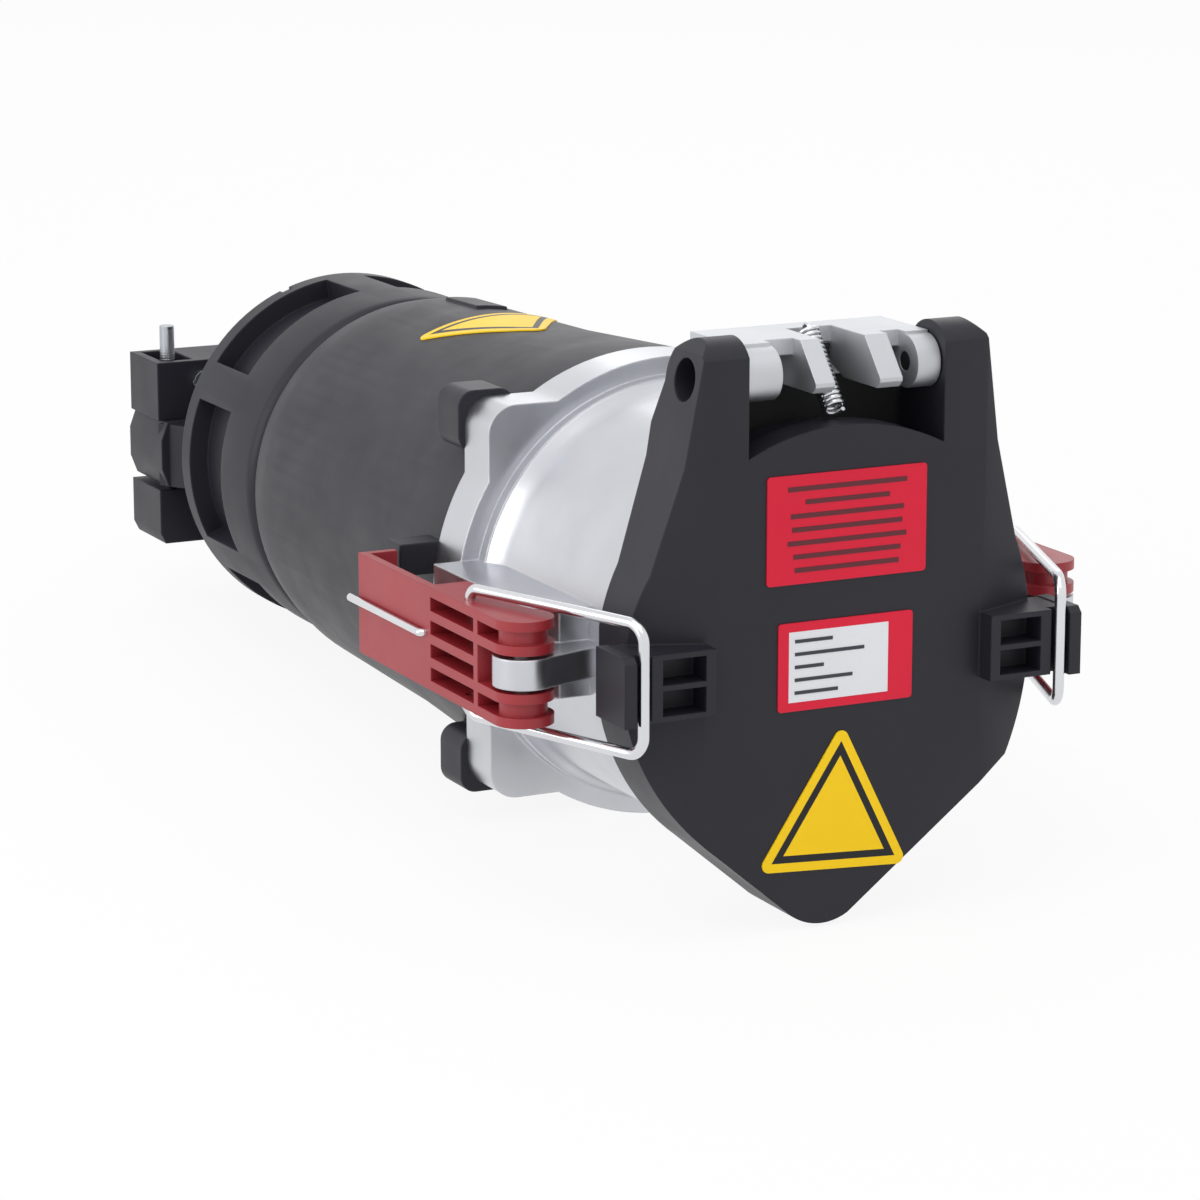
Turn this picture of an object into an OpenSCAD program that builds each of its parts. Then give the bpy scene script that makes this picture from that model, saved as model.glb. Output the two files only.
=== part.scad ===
/* [Plug collar] */
// Outer radius of the aluminium collar
collar_r = 66.5; // [65.5:0.5:67.5]
// Inner radius of the collar around the contact carrier
bore_r = 60; // [59:0.5:61]
// Inner radius of the mouth that takes the plug
mouth_r = 62; // [61.5:0.5:63]
// Depth of the mouth
mouth_depth = 20; // [16:1:22]
// Rounding of the collar's front edge
collar_edge = 1.2; // [0.6:0.2:1.6]
// Length from the mouth to the step in front of the flange
collar_len = 84; // [80:1:90]
// Length of the cone where the collar widens before the step
flare_len = 8; // [6:1:12]
// Radius at the wide end of that cone
flare_r = 70; // [69:0.5:70]
// Radius of the step ring
ring_r = 70.5; // [70.5:0.5:72]
// Length of the step ring
ring_len = 4.7; // [3:0.1:7]
// Thickness of the aluminium flange
flange_t = 18.6; // [16:0.2:22]
// Radius of the round part of the flange
flange_r = 76.5; // [75.5:0.5:78]
// Half width of the rounded square that carries the screws
lobe_half = 64.9; // [64:0.1:67]
// Corner radius of that square
lobe_r = 9.5; // [8:0.5:10.5]
// Distance of the flange screws from each middle plane
screw_pos = 57; // [56:0.5:58]
// Depth of the blind screw holes in the flange
screw_depth = 15.5; // [12:0.5:16]

/* [Side arms] */
// Height of the latches' middle plane above the axis
latch_z = 0.5; // [0:0.5:1]
// Top of the arm blocks above the axis
arm_top = 15.5; // [14:0.5:17]
// Bottom of the arm blocks below the axis
arm_low = 12.5; // [11:0.5:14]
// Half width at the outer faces of the arm blocks
arm_x = 84; // [82:0.5:84]
// Where the arm blocks start behind the mouth
arm_front = 14; // [14:1:20]
// Half thickness of the lug that carries the lever
lug_half = 4.7; // [4:0.1:5]

/* [Latch] */
// Distance of the lever's pivot from the middle plane
pivot_x = 92; // [91.5:0.5:93]
// Distance of the lever's pivot behind the mouth
pivot_y = 6; // [5:0.5:6]
// Radius of the round ends of the lever's plates and of the lug
prong_r = 9.4; // [8.5:0.1:9.4]
// Thickness of a plate of the lever
plate_t = 3.1; // [2.8:0.1:3.4]
// Spacing of the five plates
plate_pitch = 7.45; // [7.3:0.05:7.6]
// Inner face of the plates behind the pivot
plate_in_x = 87; // [86.5:0.5:88]
// Where the wall behind the lug starts
divider_y = 18.5; // [17:0.5:20]
// Where the slotted block of the lever ends
block_end_y = 56.5; // [54:0.5:60]
// Rear end of the lever
lever_end_y = 110; // [108:0.5:112]
// Thickness of the lever's walls
lever_wall = 3; // [2.6:0.1:3.4]
// Inner edge of the wall across the lever's rear end
lever_return_x = 89; // [88.5:0.5:91]
// Radius of the lever's pin
lever_pin_r = 3; // [2.5:0.1:3.4]
// How far the pin's lower end lies inside the bottom plate
pin_recess = 0.8; // [0.2:0.1:1.2]
// Radius of the bail's wire
wire_r = 1.8; // [1.6:0.1:1.9]
// Distance of the bail's pivot from the middle plane
bail_x = 97; // [96.5:0.5:97.5]
// Distance of the bail's pivot behind the mouth
bail_y = 33; // [32:0.5:34]
// Distance of the bail's bar from the middle plane
bar_x = 72; // [71.8:0.1:72.2]
// How far the bail's bar lies in front of the mouth
bar_y = 35.2; // [35:0.1:35.4]
// Half height of the bail at the wire's middle
bail_half = 20; // [19.6:0.1:20.6]
// Bend radius at the front corners of the bail
bend_r = 6; // [4:0.5:7]
// Bend radius where the wire turns into the lever
hook_r = 3.4; // [3:0.1:3.5]
// How far the wire's ends stop inside the outer plates
hook_stop = 0.4; // [0.2:0.1:0.8]
// Depth of the pin's blind end in the top plate
blind_depth = 1.6; // [1.2:0.1:2]
// Radius of the lever's locking wire
clip_r = 1.3; // [1:0.1:1.4]
// How far the locking wire reaches past the lever
clip_over = 3.5; // [2:0.5:5]
// Height of the locking wire above the latch's middle
clip_z = 1.2; // [0:0.2:2]

/* [Lid] */
// Radius of the lid's disc
lid_r = 71; // [70.5:0.5:71.5]
// How far the lid's face lies in front of the mouth
lid_front = 28; // [27.5:0.5:29]
// Half width of the flat middle of the face
slab_half = 48.6; // [47:0.2:50]
// How much the face falls back for each millimetre beside it
side_slope = 0.4; // [0.34:0.02:0.42]
// Radius of the disc's top between the ears
crown_r = 73.5; // [73:0.25:73.75]
// How far the crown reaches back from the lid's face
crown_len = 12; // [9:1:16]
// Lowest point of the pointed tongue below the axis
tongue_low = 81.7; // [81:0.1:82.6]
// Distance of the tongue's tip from the middle plane, to the left
tongue_x = 6.8; // [6:0.2:7.4]
// Radius of the tongue's tip
tongue_r = 18; // [16:1:20]
// Distance of the face's slanted right edge from the axis
face_edge = 64.2; // [63.6:0.1:64.3]
// Direction of that edge's outer side below the right
face_edge_turn = 52.5; // [50:0.5:54]
// Depth of the slanted side behind that edge
face_edge_depth = 16; // [12:1:17]
// Inner face of the ears
ear_in = 33.6; // [33:0.2:34.2]
// Outer face of the ears at the top
ear_out = 48.6; // [47.6:0.2:49.2]
// Outer face of the ears halfway down
ear_mid_x = 54; // [53:0.5:55]
// Height of that place
ear_mid_z = 64; // [60:1:68]
// Half width where the ears run into the disc
ear_low_x = 67.6; // [66.5:0.5:68.5]
// Height where the ears run into the disc
ear_low_z = 17.7; // [14:0.5:20]
// Radius of the ears' round tops about the hinge
ear_r = 12.2; // [11.6:0.2:12.6]
// Height of the hinge axis
hinge_z = 89.3; // [89.1:0.1:89.8]
// How far the hinge axis lies in front of the mouth
hinge_y = 17.8; // [17.6:0.2:18.4]
// Radius of the deep hollow in the lid
hollow_r = 44; // [38:1:46]
// Thickness of the lid's face
lid_skin = 4; // [3:0.5:5]
// Depth of the wide hollow in the lid
hollow_depth = 18; // [14:1:19]
// Radius of the wide hollow
hollow_wide_r = 60; // [58:0.5:61]
// Outer radius of the lid's gasket
gasket_r = 68.2; // [67.5:0.1:68.6]
// Thickness of the lid's gasket
gasket_t = 5; // [4:0.5:6]

/* [Catches] */
// Front of the ribbed blocks in front of the mouth
catch_front = 34.9; // [34.4:0.1:35.4]
// Half height of the ribbed blocks
catch_half = 10.3; // [9.5:0.1:10.6]
// Outer edge of the pockets in the blocks
pocket_out_x = 65.5; // [64.5:0.5:66.5]
// Inner edge of the pockets in the blocks
pocket_in_x = 51; // [50:0.5:54]
// Thickness of the ribs beside the pockets
catch_rib = 1.7; // [1.4:0.1:2.2]
// Inner side of the groove for the bail
groove_in_x = 69.2; // [68.8:0.1:69.4]
// Outer side of the groove for the bail
groove_out_x = 74.9; // [74.6:0.1:75.4]
// Free space between the bail and the groove's bottom
groove_gap = 1.8; // [1.6:0.1:2.2]
// Thickness of the flange outside the groove
catch_flange_t = 4.1; // [3.4:0.1:4.6]
// Front of that flange in front of the mouth
catch_flange_front = 36.6; // [36:0.1:37.2]
// Half height of that flange
catch_flange_half = 10.7; // [10:0.1:11.2]
// Rear end of the catches in front of the mouth
catch_back = 17.2; // [16.8:0.2:18]
// Rear end of the outer flanges in front of the mouth
catch_flange_back = 15; // [14:0.5:17]

/* [Hinge bracket] */
// Half width of the bracket
bracket_half = 33.2; // [32.6:0.2:33.2]
// Radius of the barrels about the hinge axis
barrel_r = 8.2; // [7.6:0.1:8.4]
// How far the fins' noses lie in front of the mouth
fin_nose_y = 28.3; // [27:0.1:28.6]
// Height of the fins' noses
fin_nose_z = 86.6; // [86:0.2:88]
// Lower edge of the fins above the axis
fin_low = 83.4; // [83.4:0.1:84]
// Top of the bracket's plate above the axis
bracket_top = 98.4; // [98:0.1:99]
// Thickness of the bracket's plate
bracket_plate_t = 5; // [4:0.5:6]
// Front of the upright wall behind the mouth
web_front = 3; // [2.5:0.5:4]
// Thickness of the upright wall
web_t = 8; // [6:0.5:9]
// Half width of the foot on the collar
foot_half = 26; // [24:1:28]
// Length of the foot on the collar
foot_len = 34; // [30:1:40]
// Thickness of the foot on top of the collar
foot_t = 7; // [6:0.5:9]
// Inner end of the left barrel
left_barrel_x = 21.2; // [20.5:0.1:22]
// Inner end of the right barrel
right_barrel_x = 25.3; // [24.8:0.1:26]
// Outer side of the left fin
left_fin_x = 11.3; // [10.8:0.1:12]
// Inner side of the left fin
left_slot_x = 4.8; // [4.2:0.1:5]
// Inner side of the right fin
right_slot_x = 10.8; // [10:0.2:11.4]
// Outer side of the right fin
right_fin_x = 18.5; // [17.8:0.1:19.2]
// How far the plate is cut back between the barrels and the fins
plate_notch = 4.3; // [3:0.1:6]
// Half width of the black facing behind the fins
facing_half = 38; // [34:1:40]
// Thickness of the black facing
facing_t = 0.8; // [0.6:0.1:1]
// Radius of the hinge pins
hinge_pin_r = 3; // [2.6:0.1:3.2]
// Radius of the recess for a pin's head
pin_recess_r = 6.5; // [6.2:0.1:6.8]
// Thickness of an ear inside that recess
ear_web = 6.4; // [5.4:0.2:7.4]
// Thickness of a pin's head
pin_head_t = 2.4; // [2:0.1:2.8]
// Radius of the spring's coil at the wire's middle
coil_r = 3; // [2.6:0.1:3.2]
// Radius of the spring's wire
coil_wire_r = 0.7; // [0.5:0.1:0.8]
// Number of turns of the spring
coil_turns = 17; // [15:1:18]
// How far the spring's foot lies in front of the mouth
coil_foot_y = 20.4; // [20:0.2:21]
// How far the spring's head lies in front of the mouth
coil_head_y = 1.6; // [1.4:0.2:3]
// Distance of the bracket's screws from the middle plane
foot_screw_x = 18; // [16:0.5:19]
// Distance of the bracket's screws behind the mouth
foot_screw_y = 27; // [26:0.5:29]
// Radius of the bracket's screws
foot_screw_r = 2.5; // [2:0.1:3]

/* [Labels] */
// Thickness of the plates on the lid
label_t = 0.5; // [0.3:0.1:0.8]
// Half width of the red panel
panel_half = 27.5; // [25:0.5:29]
// Lower edge of the red panel above the axis
panel_low = 26.1; // [24:0.1:28]
// Height of the red panel
panel_h = 33.5; // [30:0.5:35]
// Half width of the rating plate
rating_half = 23.3; // [20:0.1:25]
// Lower edge of the rating plate below the axis
rating_low = 13.3; // [12:0.1:15]
// Height of the rating plate
rating_h = 27.5; // [24:0.5:28]
// Corner radius of the plates
label_r = 1.2; // [0.8:0.2:2]
// Side length of the yellow triangles
sign_side = 53; // [50:1:54]
// Radius of the triangles' corners
sign_r = 2.4; // [1.5:0.1:3]
// Distance of the lid's triangle from the middle plane
sign_x = 3.6; // [3.4:0.2:4.4]
// Bottom edge of the lid's triangle below the axis
sign_low = 64.6; // [63:0.2:64.8]
// Turn of the lid's triangle in degrees
sign_turn = 3.5; // [0:0.5:6]
// Side length of the housing's triangle
body_sign_side = 56; // [50:1:56]
// Distance from the housing's triangle to the raised pad
body_sign_gap = 17.8; // [16:0.2:22]
// Turn of the housing's triangle around the axis in degrees
body_sign_turn = 3; // [0:0.5:4]

/* [Contacts] */
// Radius of the contact carrier's body
carrier_r = 50; // [48:1:51]
// Front of the carrier behind the mouth
carrier_front = 22; // [22:1:26]
// Thickness of the carrier's clamped rim
rim_t = 12; // [8:1:14]
// Distance of the contacts from the axis
contact_circle = 28; // [26:0.5:30]
// Outer radius of a contact sleeve
sleeve_r = 8; // [7:0.5:9]
// Inner radius of a contact sleeve
sleeve_bore = 5.2; // [4:0.2:5.8]
// How far the sleeves lie behind the carrier's front
sleeve_inset = 2; // [1:0.5:4]
// Radius of the terminal behind a sleeve
terminal_r = 10.5; // [10:0.5:12]
// Length of the terminal
terminal_len = 22; // [18:1:26]
// Radius of the wire's hole in a terminal
wire_hole_r = 6.5; // [5:0.5:7]
// Outer radius of the pilot contact
pilot_r = 4.5; // [4:0.5:5.5]
// Inner radius of the pilot contact
pilot_bore = 2.6; // [2:0.1:3]
// Radius of the terminal screws
terminal_screw_r = 2.5; // [2:0.1:3]
// Length of the terminal screws
terminal_screw_len = 6; // [5:0.5:7]

/* [Rear housing] */
// Radius of the housing beside its screw bosses
body_r = 75; // [74:0.5:75.5]
// Radius of the housing in the middle
body_mid_r = 71.2; // [70.6:0.2:72.4]
// Radius of the housing at its rear end
body_end_r = 69; // [68.5:0.5:70]
// Length of the housing from the flange to its shoulder
body_len = 165; // [160:1:175]
// Length of the rounded shoulder
shoulder_len = 19; // [16:1:20]
// Wall thickness of the housing
body_wall = 3.5; // [3:0.25:4.5]
// Half width of the screw bosses
boss_half = 10; // [9.5:0.5:10.5]
// Corner radius of the screw bosses
boss_edge = 5.5; // [4.5:0.5:6.5]
// Length of the screw bosses
boss_len = 16.7; // [14:0.5:20]
// Length of the housing's spigot in the flange
spigot_len = 11; // [9:0.5:12]
// Width of the seal around the spigot
seal_w = 3.4; // [3:0.2:4]
// Depth of the seal's groove
seal_t = 2.6; // [2:0.2:3]
// Height of the lever's rest above the axis
rest_low = 8; // [7:0.5:9]
// Height of the lever's rest block
rest_h = 10.6; // [9:0.2:12]
// Outer face of the lever's rest block
rest_x = 88; // [86:0.5:88]
// Length of the lever's rest block
rest_len = 11; // [9:0.5:14]
// Thickness of the raised pad on the housing
pad_t = 1.2; // [1:0.2:2]
// Length of the raised pad
pad_len = 27; // [24:1:30]
// Width of the raised pad
pad_w = 12; // [10:1:16]
// Distance of the raised pad from the middle plane
pad_x = 1; // [0.5:0.5:3]
// Distance from the raised pad to the shoulder
pad_back = 4; // [3:0.5:8]

/* [Cable gland] */
// Outer radius of the gland nut
nut_r = 66.4; // [65.5:0.2:67]
// Length of the gland nut
nut_len = 71; // [69:0.5:74]
// Rounding of the nut's front edge
nut_edge = 5; // [3:0.5:6]
// Length of the nut in front of its pockets
nut_front_len = 30; // [27:1:32]
// Thickness of the nut's rear rim
nut_rim_t = 9; // [7:0.5:11]
// Depth of the pockets
pocket_depth = 7.4; // [5:0.2:7.4]
// Angle that a pocket takes up
pocket_angle = 47; // [40:1:50]
// Radius of the housing's thread inside the nut
thread_r = 56; // [55:0.5:56]
// Length of that thread
thread_len = 26; // [22:1:28]
// Outer radius of the cable seal's seat
seat_r = 44; // [42:0.5:45]
// Radius of the cable's passage
cable_r = 28; // [26:0.5:28.5]
// Thickness of the lip in front of the cable seal
seat_lip = 6; // [5:0.5:8]
// Length of the cable seal
cable_seal_len = 24; // [20:1:25]
// Thickness of the thrust ring
thrust_t = 4; // [3:0.5:6]
// Thickness of the neck's flange
neck_flange_t = 8; // [6:0.5:10]
// Radius of the neck where it leaves the nut
neck_r = 51.6; // [50:0.2:51.6]
// Radius of the neck at the clamp
neck_end_r = 36; // [34:0.5:37]

/* [Cable clamp] */
// Where the clamp starts behind the mouth
clamp_y = 395; // [392:1:400]
// Length of the clamp along the cable
clamp_len = 31; // [28:1:34]
// Half width of the clamp
clamp_half = 63; // [61:0.5:64]
// Top of the neck's ears above the axis
clamp_ear_top = 8.8; // [7:0.2:10]
// Bottom of the neck's ears below the axis
clamp_ear_low = 16.4; // [15:0.1:18]
// How far the ears reach towards the nut
clamp_ear_lead = 14; // [10:1:16]
// How much narrower the ears are there
clamp_ear_step = 9; // [7:0.5:11]
// Top of the upper jaw above the axis
jaw_top = 31.2; // [29:0.1:32]
// Free gap above the lower jaw
jaw_gap = 2; // [1.6:0.1:3]
// Bottom of the lower jaw below the axis
jaw_low = 39.5; // [38.5:0.5:41]
// Distance of the clamp's bolts from the middle plane
bolt_x = 53.2; // [52.6:0.2:54]
// Radius of the clamp's bolts
bolt_r = 2.8; // [2.5:0.1:3]
// Top of the clamp's bolts above the axis
bolt_top = 43; // [40:0.5:45]
// Floor of the upper jaw's recess above the axis
recess_floor = 17; // [15:0.5:19]
// Distance of the lock screws from the middle plane
lock_x = 44.6; // [44:0.1:44.8]
// Height of the lock screws above the axis
lock_z = 23.2; // [22:0.2:24]
// Radius of the lock screws' heads
lock_head_r = 4.6; // [4:0.1:5]

/* [Hidden] */
$fn = 72;

// Clearances
run_fit = 0.05;
seat_fit = 0.03;
play = 0.3;
free_gap = 0.4;
gasket_gap = 0.15;
lid_gap = 0.6;
over = 1;
tuck = 0.05;
far = 140;

// Standard screws and nuts
m6_r = 3;
m6_head_r = 5;
m6_head_t = 6;
m6_key_r = 2.9;
m6_key_depth = 3.2;
m6_nut_r = 5.5;
m6_nut_t = 5;
m6_free_r = 3.3;
hex_sides = 6;
foot_head_r = 4.4;
foot_head_t = 2.6;
lock_r = 2;
lock_len = 14;
lock_head_t = 3.4;
slot_w = 1.2;
slot_depth = 1.2;

// Bracket details
web_root = 8;
foot_root = 12;
foot_skin = 3;
foot_sink = 1.6;
foot_key_r = 1.75;
foot_key_depth = 1.6;
fin_lead = 0.5;
fin_edge = 2;
fin_rise_y = 6;
fin_rise = 4;
facing_gap = 0.1;
pin_play = 0.2;
ear_heel = 2;
coil_head_drop = 0.6;
coil_foot_lift = 3.2;

// Steps and bevels of the housings
arm_root = bore_r + 2;
arm_bevel = 8;
lug_len = 12;
catch_bevel = 2;
pocket_sink = 1;
flat_depth = 1.2;
spacer_step = 2;
clip_tail = 2;
clip_gap = 0.15;
bend_step = 0.02;
ledge_y = 10;
ledge_cone = 2;
sleeve_floor = 16;
terminal_floor = 4;
terminal_key = 2;
pilot_step = 2;
pilot_floor = 20;
seat_wall = 0.5;
seal_lead = 3;
seal_sink = 1.6;
seal_side = 1;
seal_play = 0.1;
sign_lift = 0.05;
spigot_wall = 4;
shoulder_drop = 4.4;
cavity_lead = 6;
cavity_cone = 10;
lip_step = 5;
flange_play = 0.7;
nut_back_edge = 1;
pocket_turn = 2;
notch_turn = -111;
notch_depth = 1.2;
notch_len = 5;
notch_w = 4;
neck_lead = 2;
neck_step = 5;
ear_root = 4;
ear_bulge = 7;
ear_narrow = clamp_half - 2;
ear_wide = clamp_half + 0.6;
recess_wall = 3.4;
jaw_bevel = 2;

// Places along the axis
flange_y = collar_len + ring_len;
flange_end = flange_y + flange_t;
boss_end = flange_end + boss_len;
straight_end = boss_end + 2;
body_middle = flange_end + body_len / 2;
shoulder_y = flange_end + body_len;
body_end = shoulder_y + shoulder_len;
nut_y = body_end + free_gap;
nut_end = nut_y + nut_len;
thread_end = body_end + thread_len;
seal_y = body_end - seal_sink;
seal_end = seal_y + cable_seal_len;
thrust_end = seal_end + thrust_t;
lip_back = nut_end - nut_rim_t;
clamp_end = clamp_y + clamp_len;
lid_back = -lid_gap;
terminal_screw_y = collar_len + rim_t + terminal_floor + (terminal_len - terminal_floor) / 2;
pad_end = shoulder_y - pad_back;
pad_start = pad_end - pad_len;
body_sign_y = pad_start - body_sign_gap - body_sign_side * sqrt(3) / 2;

// Inside radii
seat_bore = collar_r - seat_wall;
rim_r = seat_bore - free_gap;
gasket_bore = hollow_wide_r + lid_gap;
spigot_r = seat_bore - free_gap;
spigot_bore = spigot_r - spigot_wall;
nut_bore = thread_r + play;
neck_flange_r = nut_bore - flange_play;
jaw_bore = cable_r + free_gap;

// Lever and bail
lever_out_x = pivot_x + prong_r;
lever_half = 2 * plate_pitch + plate_t / 2;
bail_reach = norm([bail_x - bar_x, bail_y + bar_y]);
bail_turn = atan2(-bar_y - bail_y, bar_x - bail_x);
hook_end = lever_half - plate_t + hook_stop;
clip_x = lever_out_x + clip_r + clip_gap;
clip_y = block_end_y + clip_r + clip_gap;

// Lid
tongue_drop = tongue_low - tongue_r;
tongue_lean = atan2(tongue_x, tongue_drop);
tongue_turn = acos((lid_r - tongue_r) / norm([tongue_x, tongue_drop]));
tongue_left = [-sin(tongue_turn + tongue_lean), -cos(tongue_turn + tongue_lean)];
tongue_right = [sin(tongue_turn - tongue_lean), -cos(tongue_turn - tongue_lean)];
flat_x = lid_r - flat_depth;
flat_half = 13;
ear_round = 4;
ear_back_z = crown_r + lid_gap;
groove_floor = bar_y - wire_r - groove_gap;
recess_in = ear_in + ear_web;

// Draws a flat shape given in x and z, between two places along the axis
module along_y(y0, y1) {
    translate([0, y1, 0])
        rotate([90, 0, 0])
            linear_extrude(y1 - y0)
                children();
}

// Draws a flat shape given in y and z, between two places across the axis
module along_x(x0, x1) {
    translate([x0, 0, 0])
        rotate([90, 0, 90])
            linear_extrude(x1 - x0)
                children();
}

// Draws a flat shape given in x and y, between two heights
module along_z(z0, z1) {
    translate([0, 0, z0])
        linear_extrude(z1 - z0)
            children();
}

// Turns a profile of radius and place along the axis around the axis
module turned(points) {
    rotate([-90, 0, 0])
        rotate_extrude()
            polygon(points);
}

// Round bar along y
module bar_y_dir(x, z, r, y0, y1) {
    translate([x, y0, z])
        rotate([-90, 0, 0])
            cylinder(r = r, h = y1 - y0);
}

// Round bar along x
module bar_x_dir(y, z, r, x0, x1) {
    translate([x0, y, z])
        rotate([0, 90, 0])
            cylinder(r = r, h = x1 - x0);
}

// Flat rectangle with round corners, from its lower left corner
module round_rect(w, h, r) {
    translate([r, 0])
        square([w - 2 * r, h]);
    translate([0, r])
        square([w, h - 2 * r]);
    for (x = [r, w - r], y = [r, h - r])
        translate([x, y])
            circle(r = r);
}

// Flat triangle with equal sides and round corners, middle of its base at zero
module round_triangle(side, r) {
    inset = r * sqrt(3);
    height = side * sqrt(3) / 2;
    corners = [[-side / 2 + inset, r], [side / 2 - inset, r], [0, height - 2 * r]];
    polygon([
        [corners[0][0], 0], [corners[1][0], 0],
        corners[1] + r * [cos(30), sin(30)], corners[2] + r * [cos(30), sin(30)],
        corners[2] + r * [-cos(30), sin(30)], corners[0] + r * [-cos(30), sin(30)]
    ]);
    for (c = corners)
        translate(c)
            circle(r = r);
}

// Outline of the flange with its four lobes
module flange_outline() {
    circle(r = flange_r);
    translate([-lobe_half, -lobe_half])
        round_rect(2 * lobe_half, 2 * lobe_half, lobe_r);
}

// Repeats a piece at the four flange screws
module at_screws(pos) {
    for (x = [-pos, pos], z = [-pos, pos])
        translate([x, 0, z])
            children();
}

// Plan of one arm block on the right, which carries the lug
module arm_plan() {
    polygon([
        [arm_root, arm_front], [arm_x - arm_bevel, arm_front], [arm_x, arm_front + arm_bevel],
        [arm_x, flange_y + over], [arm_root, flange_y + over]
    ]);
}

// Plan of one lug on the right
module lug_plan() {
    translate([pivot_x, pivot_y])
        circle(r = prong_r);
    polygon([
        [arm_root, pivot_y], [pivot_x, pivot_y - prong_r], [pivot_x + prong_r, pivot_y],
        [plate_in_x - play, divider_y - play], [arm_x, arm_front + lug_len], [arm_root, arm_front + lug_len]
    ]);
}

module front_housing() {
    color("gainsboro")
        difference() {
            union() {
                turned([
                    [bore_r - over, 0], [collar_r - collar_edge, 0], [collar_r, collar_edge],
                    [collar_r, collar_len - flare_len], [flare_r, collar_len],
                    [ring_r, collar_len], [ring_r, flange_y], [bore_r - over, flange_y]
                ]);
                along_y(flange_y, flange_end)
                    flange_outline();
                for (side = [0, 1])
                    mirror([side, 0, 0]) {
                        along_z(-arm_low, arm_top)
                            arm_plan();
                        along_z(latch_z - lug_half, latch_z + lug_half)
                            lug_plan();
                    }
            }
            bar_y_dir(0, 0, bore_r, -over, flange_end + over);
            bar_y_dir(0, 0, mouth_r, -over, mouth_depth);
            bar_y_dir(0, 0, seat_bore, collar_len, flange_end + over);
            for (side = [-1, 1]) {
                translate([side * pivot_x, pivot_y, latch_z - lug_half - over])
                    cylinder(r = lever_pin_r + run_fit, h = 2 * (lug_half + over));
                translate([side * foot_screw_x, foot_screw_y, 0])
                    cylinder(r = foot_screw_r + play, h = collar_r + over);
                translate([side * foot_screw_x, foot_screw_y, 0])
                    cylinder(r = foot_head_r + play, h = foot_head_z() + foot_head_t);
            }
            at_screws(screw_pos)
                bar_y_dir(0, 0, m6_r + seat_fit, flange_end - screw_depth, flange_end + over);
        }
}

// Height of the underside of the bracket screws' heads
function foot_head_z() = sqrt(pow(bore_r, 2) - pow(foot_screw_x + foot_head_r, 2)) + foot_sink;

// Side view of the bracket's plate and upright wall
module bracket_side() {
    translate([-hinge_y, bracket_top - bracket_plate_t])
        square([hinge_y + web_front + web_t, bracket_plate_t]);
    translate([web_front, collar_r - web_root])
        square([web_t, bracket_top - collar_r + web_root]);
}

// Side view of a barrel
module barrel_side() {
    translate([-hinge_y, hinge_z])
        circle(r = barrel_r);
    translate([-hinge_y, hinge_z])
        square([barrel_r + over, bracket_top - hinge_z]);
}

// Side view of a fin with its slanted front and its nose
module fin_side() {
    polygon([
        [-hinge_y - fin_lead, bracket_top], [-fin_nose_y, fin_nose_z], [-fin_nose_y, fin_low + fin_edge],
        [fin_edge - fin_nose_y, fin_low], [-fin_rise_y, fin_low],
        [web_front + over, fin_low + fin_rise], [web_front + over, bracket_top]
    ]);
}

module hinge_bracket() {
    color("silver")
        difference() {
            union() {
                along_x(-bracket_half, bracket_half)
                    bracket_side();
                along_x(-bracket_half, -left_barrel_x)
                    barrel_side();
                along_x(-left_fin_x, -left_slot_x)
                    fin_side();
                along_x(right_slot_x, right_fin_x)
                    fin_side();
                along_x(right_barrel_x, bracket_half)
                    barrel_side();
                translate([-foot_half, web_front, collar_r - foot_root])
                    cube([2 * foot_half, foot_len, foot_t + foot_root]);
            }
            bar_y_dir(0, 0, collar_r + seat_fit, 0, flange_y);
            for (gap = [[-left_barrel_x, -left_fin_x, plate_notch - hinge_y],
                        [-left_slot_x, right_slot_x, web_front - free_gap],
                        [right_fin_x, right_barrel_x, plate_notch - hinge_y]])
                translate([gap[0], gap[2] - far / 2, collar_r])
                    cube([gap[1] - gap[0], far / 2, far]);
            bar_x_dir(-hinge_y, hinge_z, hinge_pin_r + seat_fit, -bracket_half - over, -left_barrel_x + over);
            bar_x_dir(-hinge_y, hinge_z, hinge_pin_r + seat_fit, right_barrel_x - over, bracket_half + over);
            for (side = [-1, 1])
                translate([side * foot_screw_x, foot_screw_y, collar_r - foot_root])
                    cylinder(r = foot_screw_r + seat_fit, h = foot_root + foot_t - foot_skin);
        }
}

// The black facing in front of the bracket's upright wall, open at the fins
module hinge_facing() {
    color("#1c1c1f")
        along_y(web_front - facing_gap - facing_t, web_front - facing_gap)
            difference() {
                translate([-facing_half, 0])
                    square([2 * facing_half, bracket_top - bracket_plate_t - free_gap]);
                circle(r = collar_r + free_gap);
                for (fin = [[-left_fin_x, -left_slot_x], [right_slot_x, right_fin_x]])
                    translate([fin[0] - free_gap, fin_low - free_gap])
                        square([fin[1] - fin[0] + 2 * free_gap, far]);
            }
}

module bracket_screws() {
    color("gray")
        for (side = [-1, 1])
            translate([side * foot_screw_x, foot_screw_y, foot_head_z()])
                difference() {
                    union() {
                        cylinder(r = foot_head_r, h = foot_head_t);
                        cylinder(r = foot_screw_r, h = collar_r + foot_t - foot_skin - play - foot_head_z());
                    }
                    translate([0, 0, -over])
                        cylinder(r = foot_key_r, h = over + foot_key_depth, $fn = hex_sides);
                }
}

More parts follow.
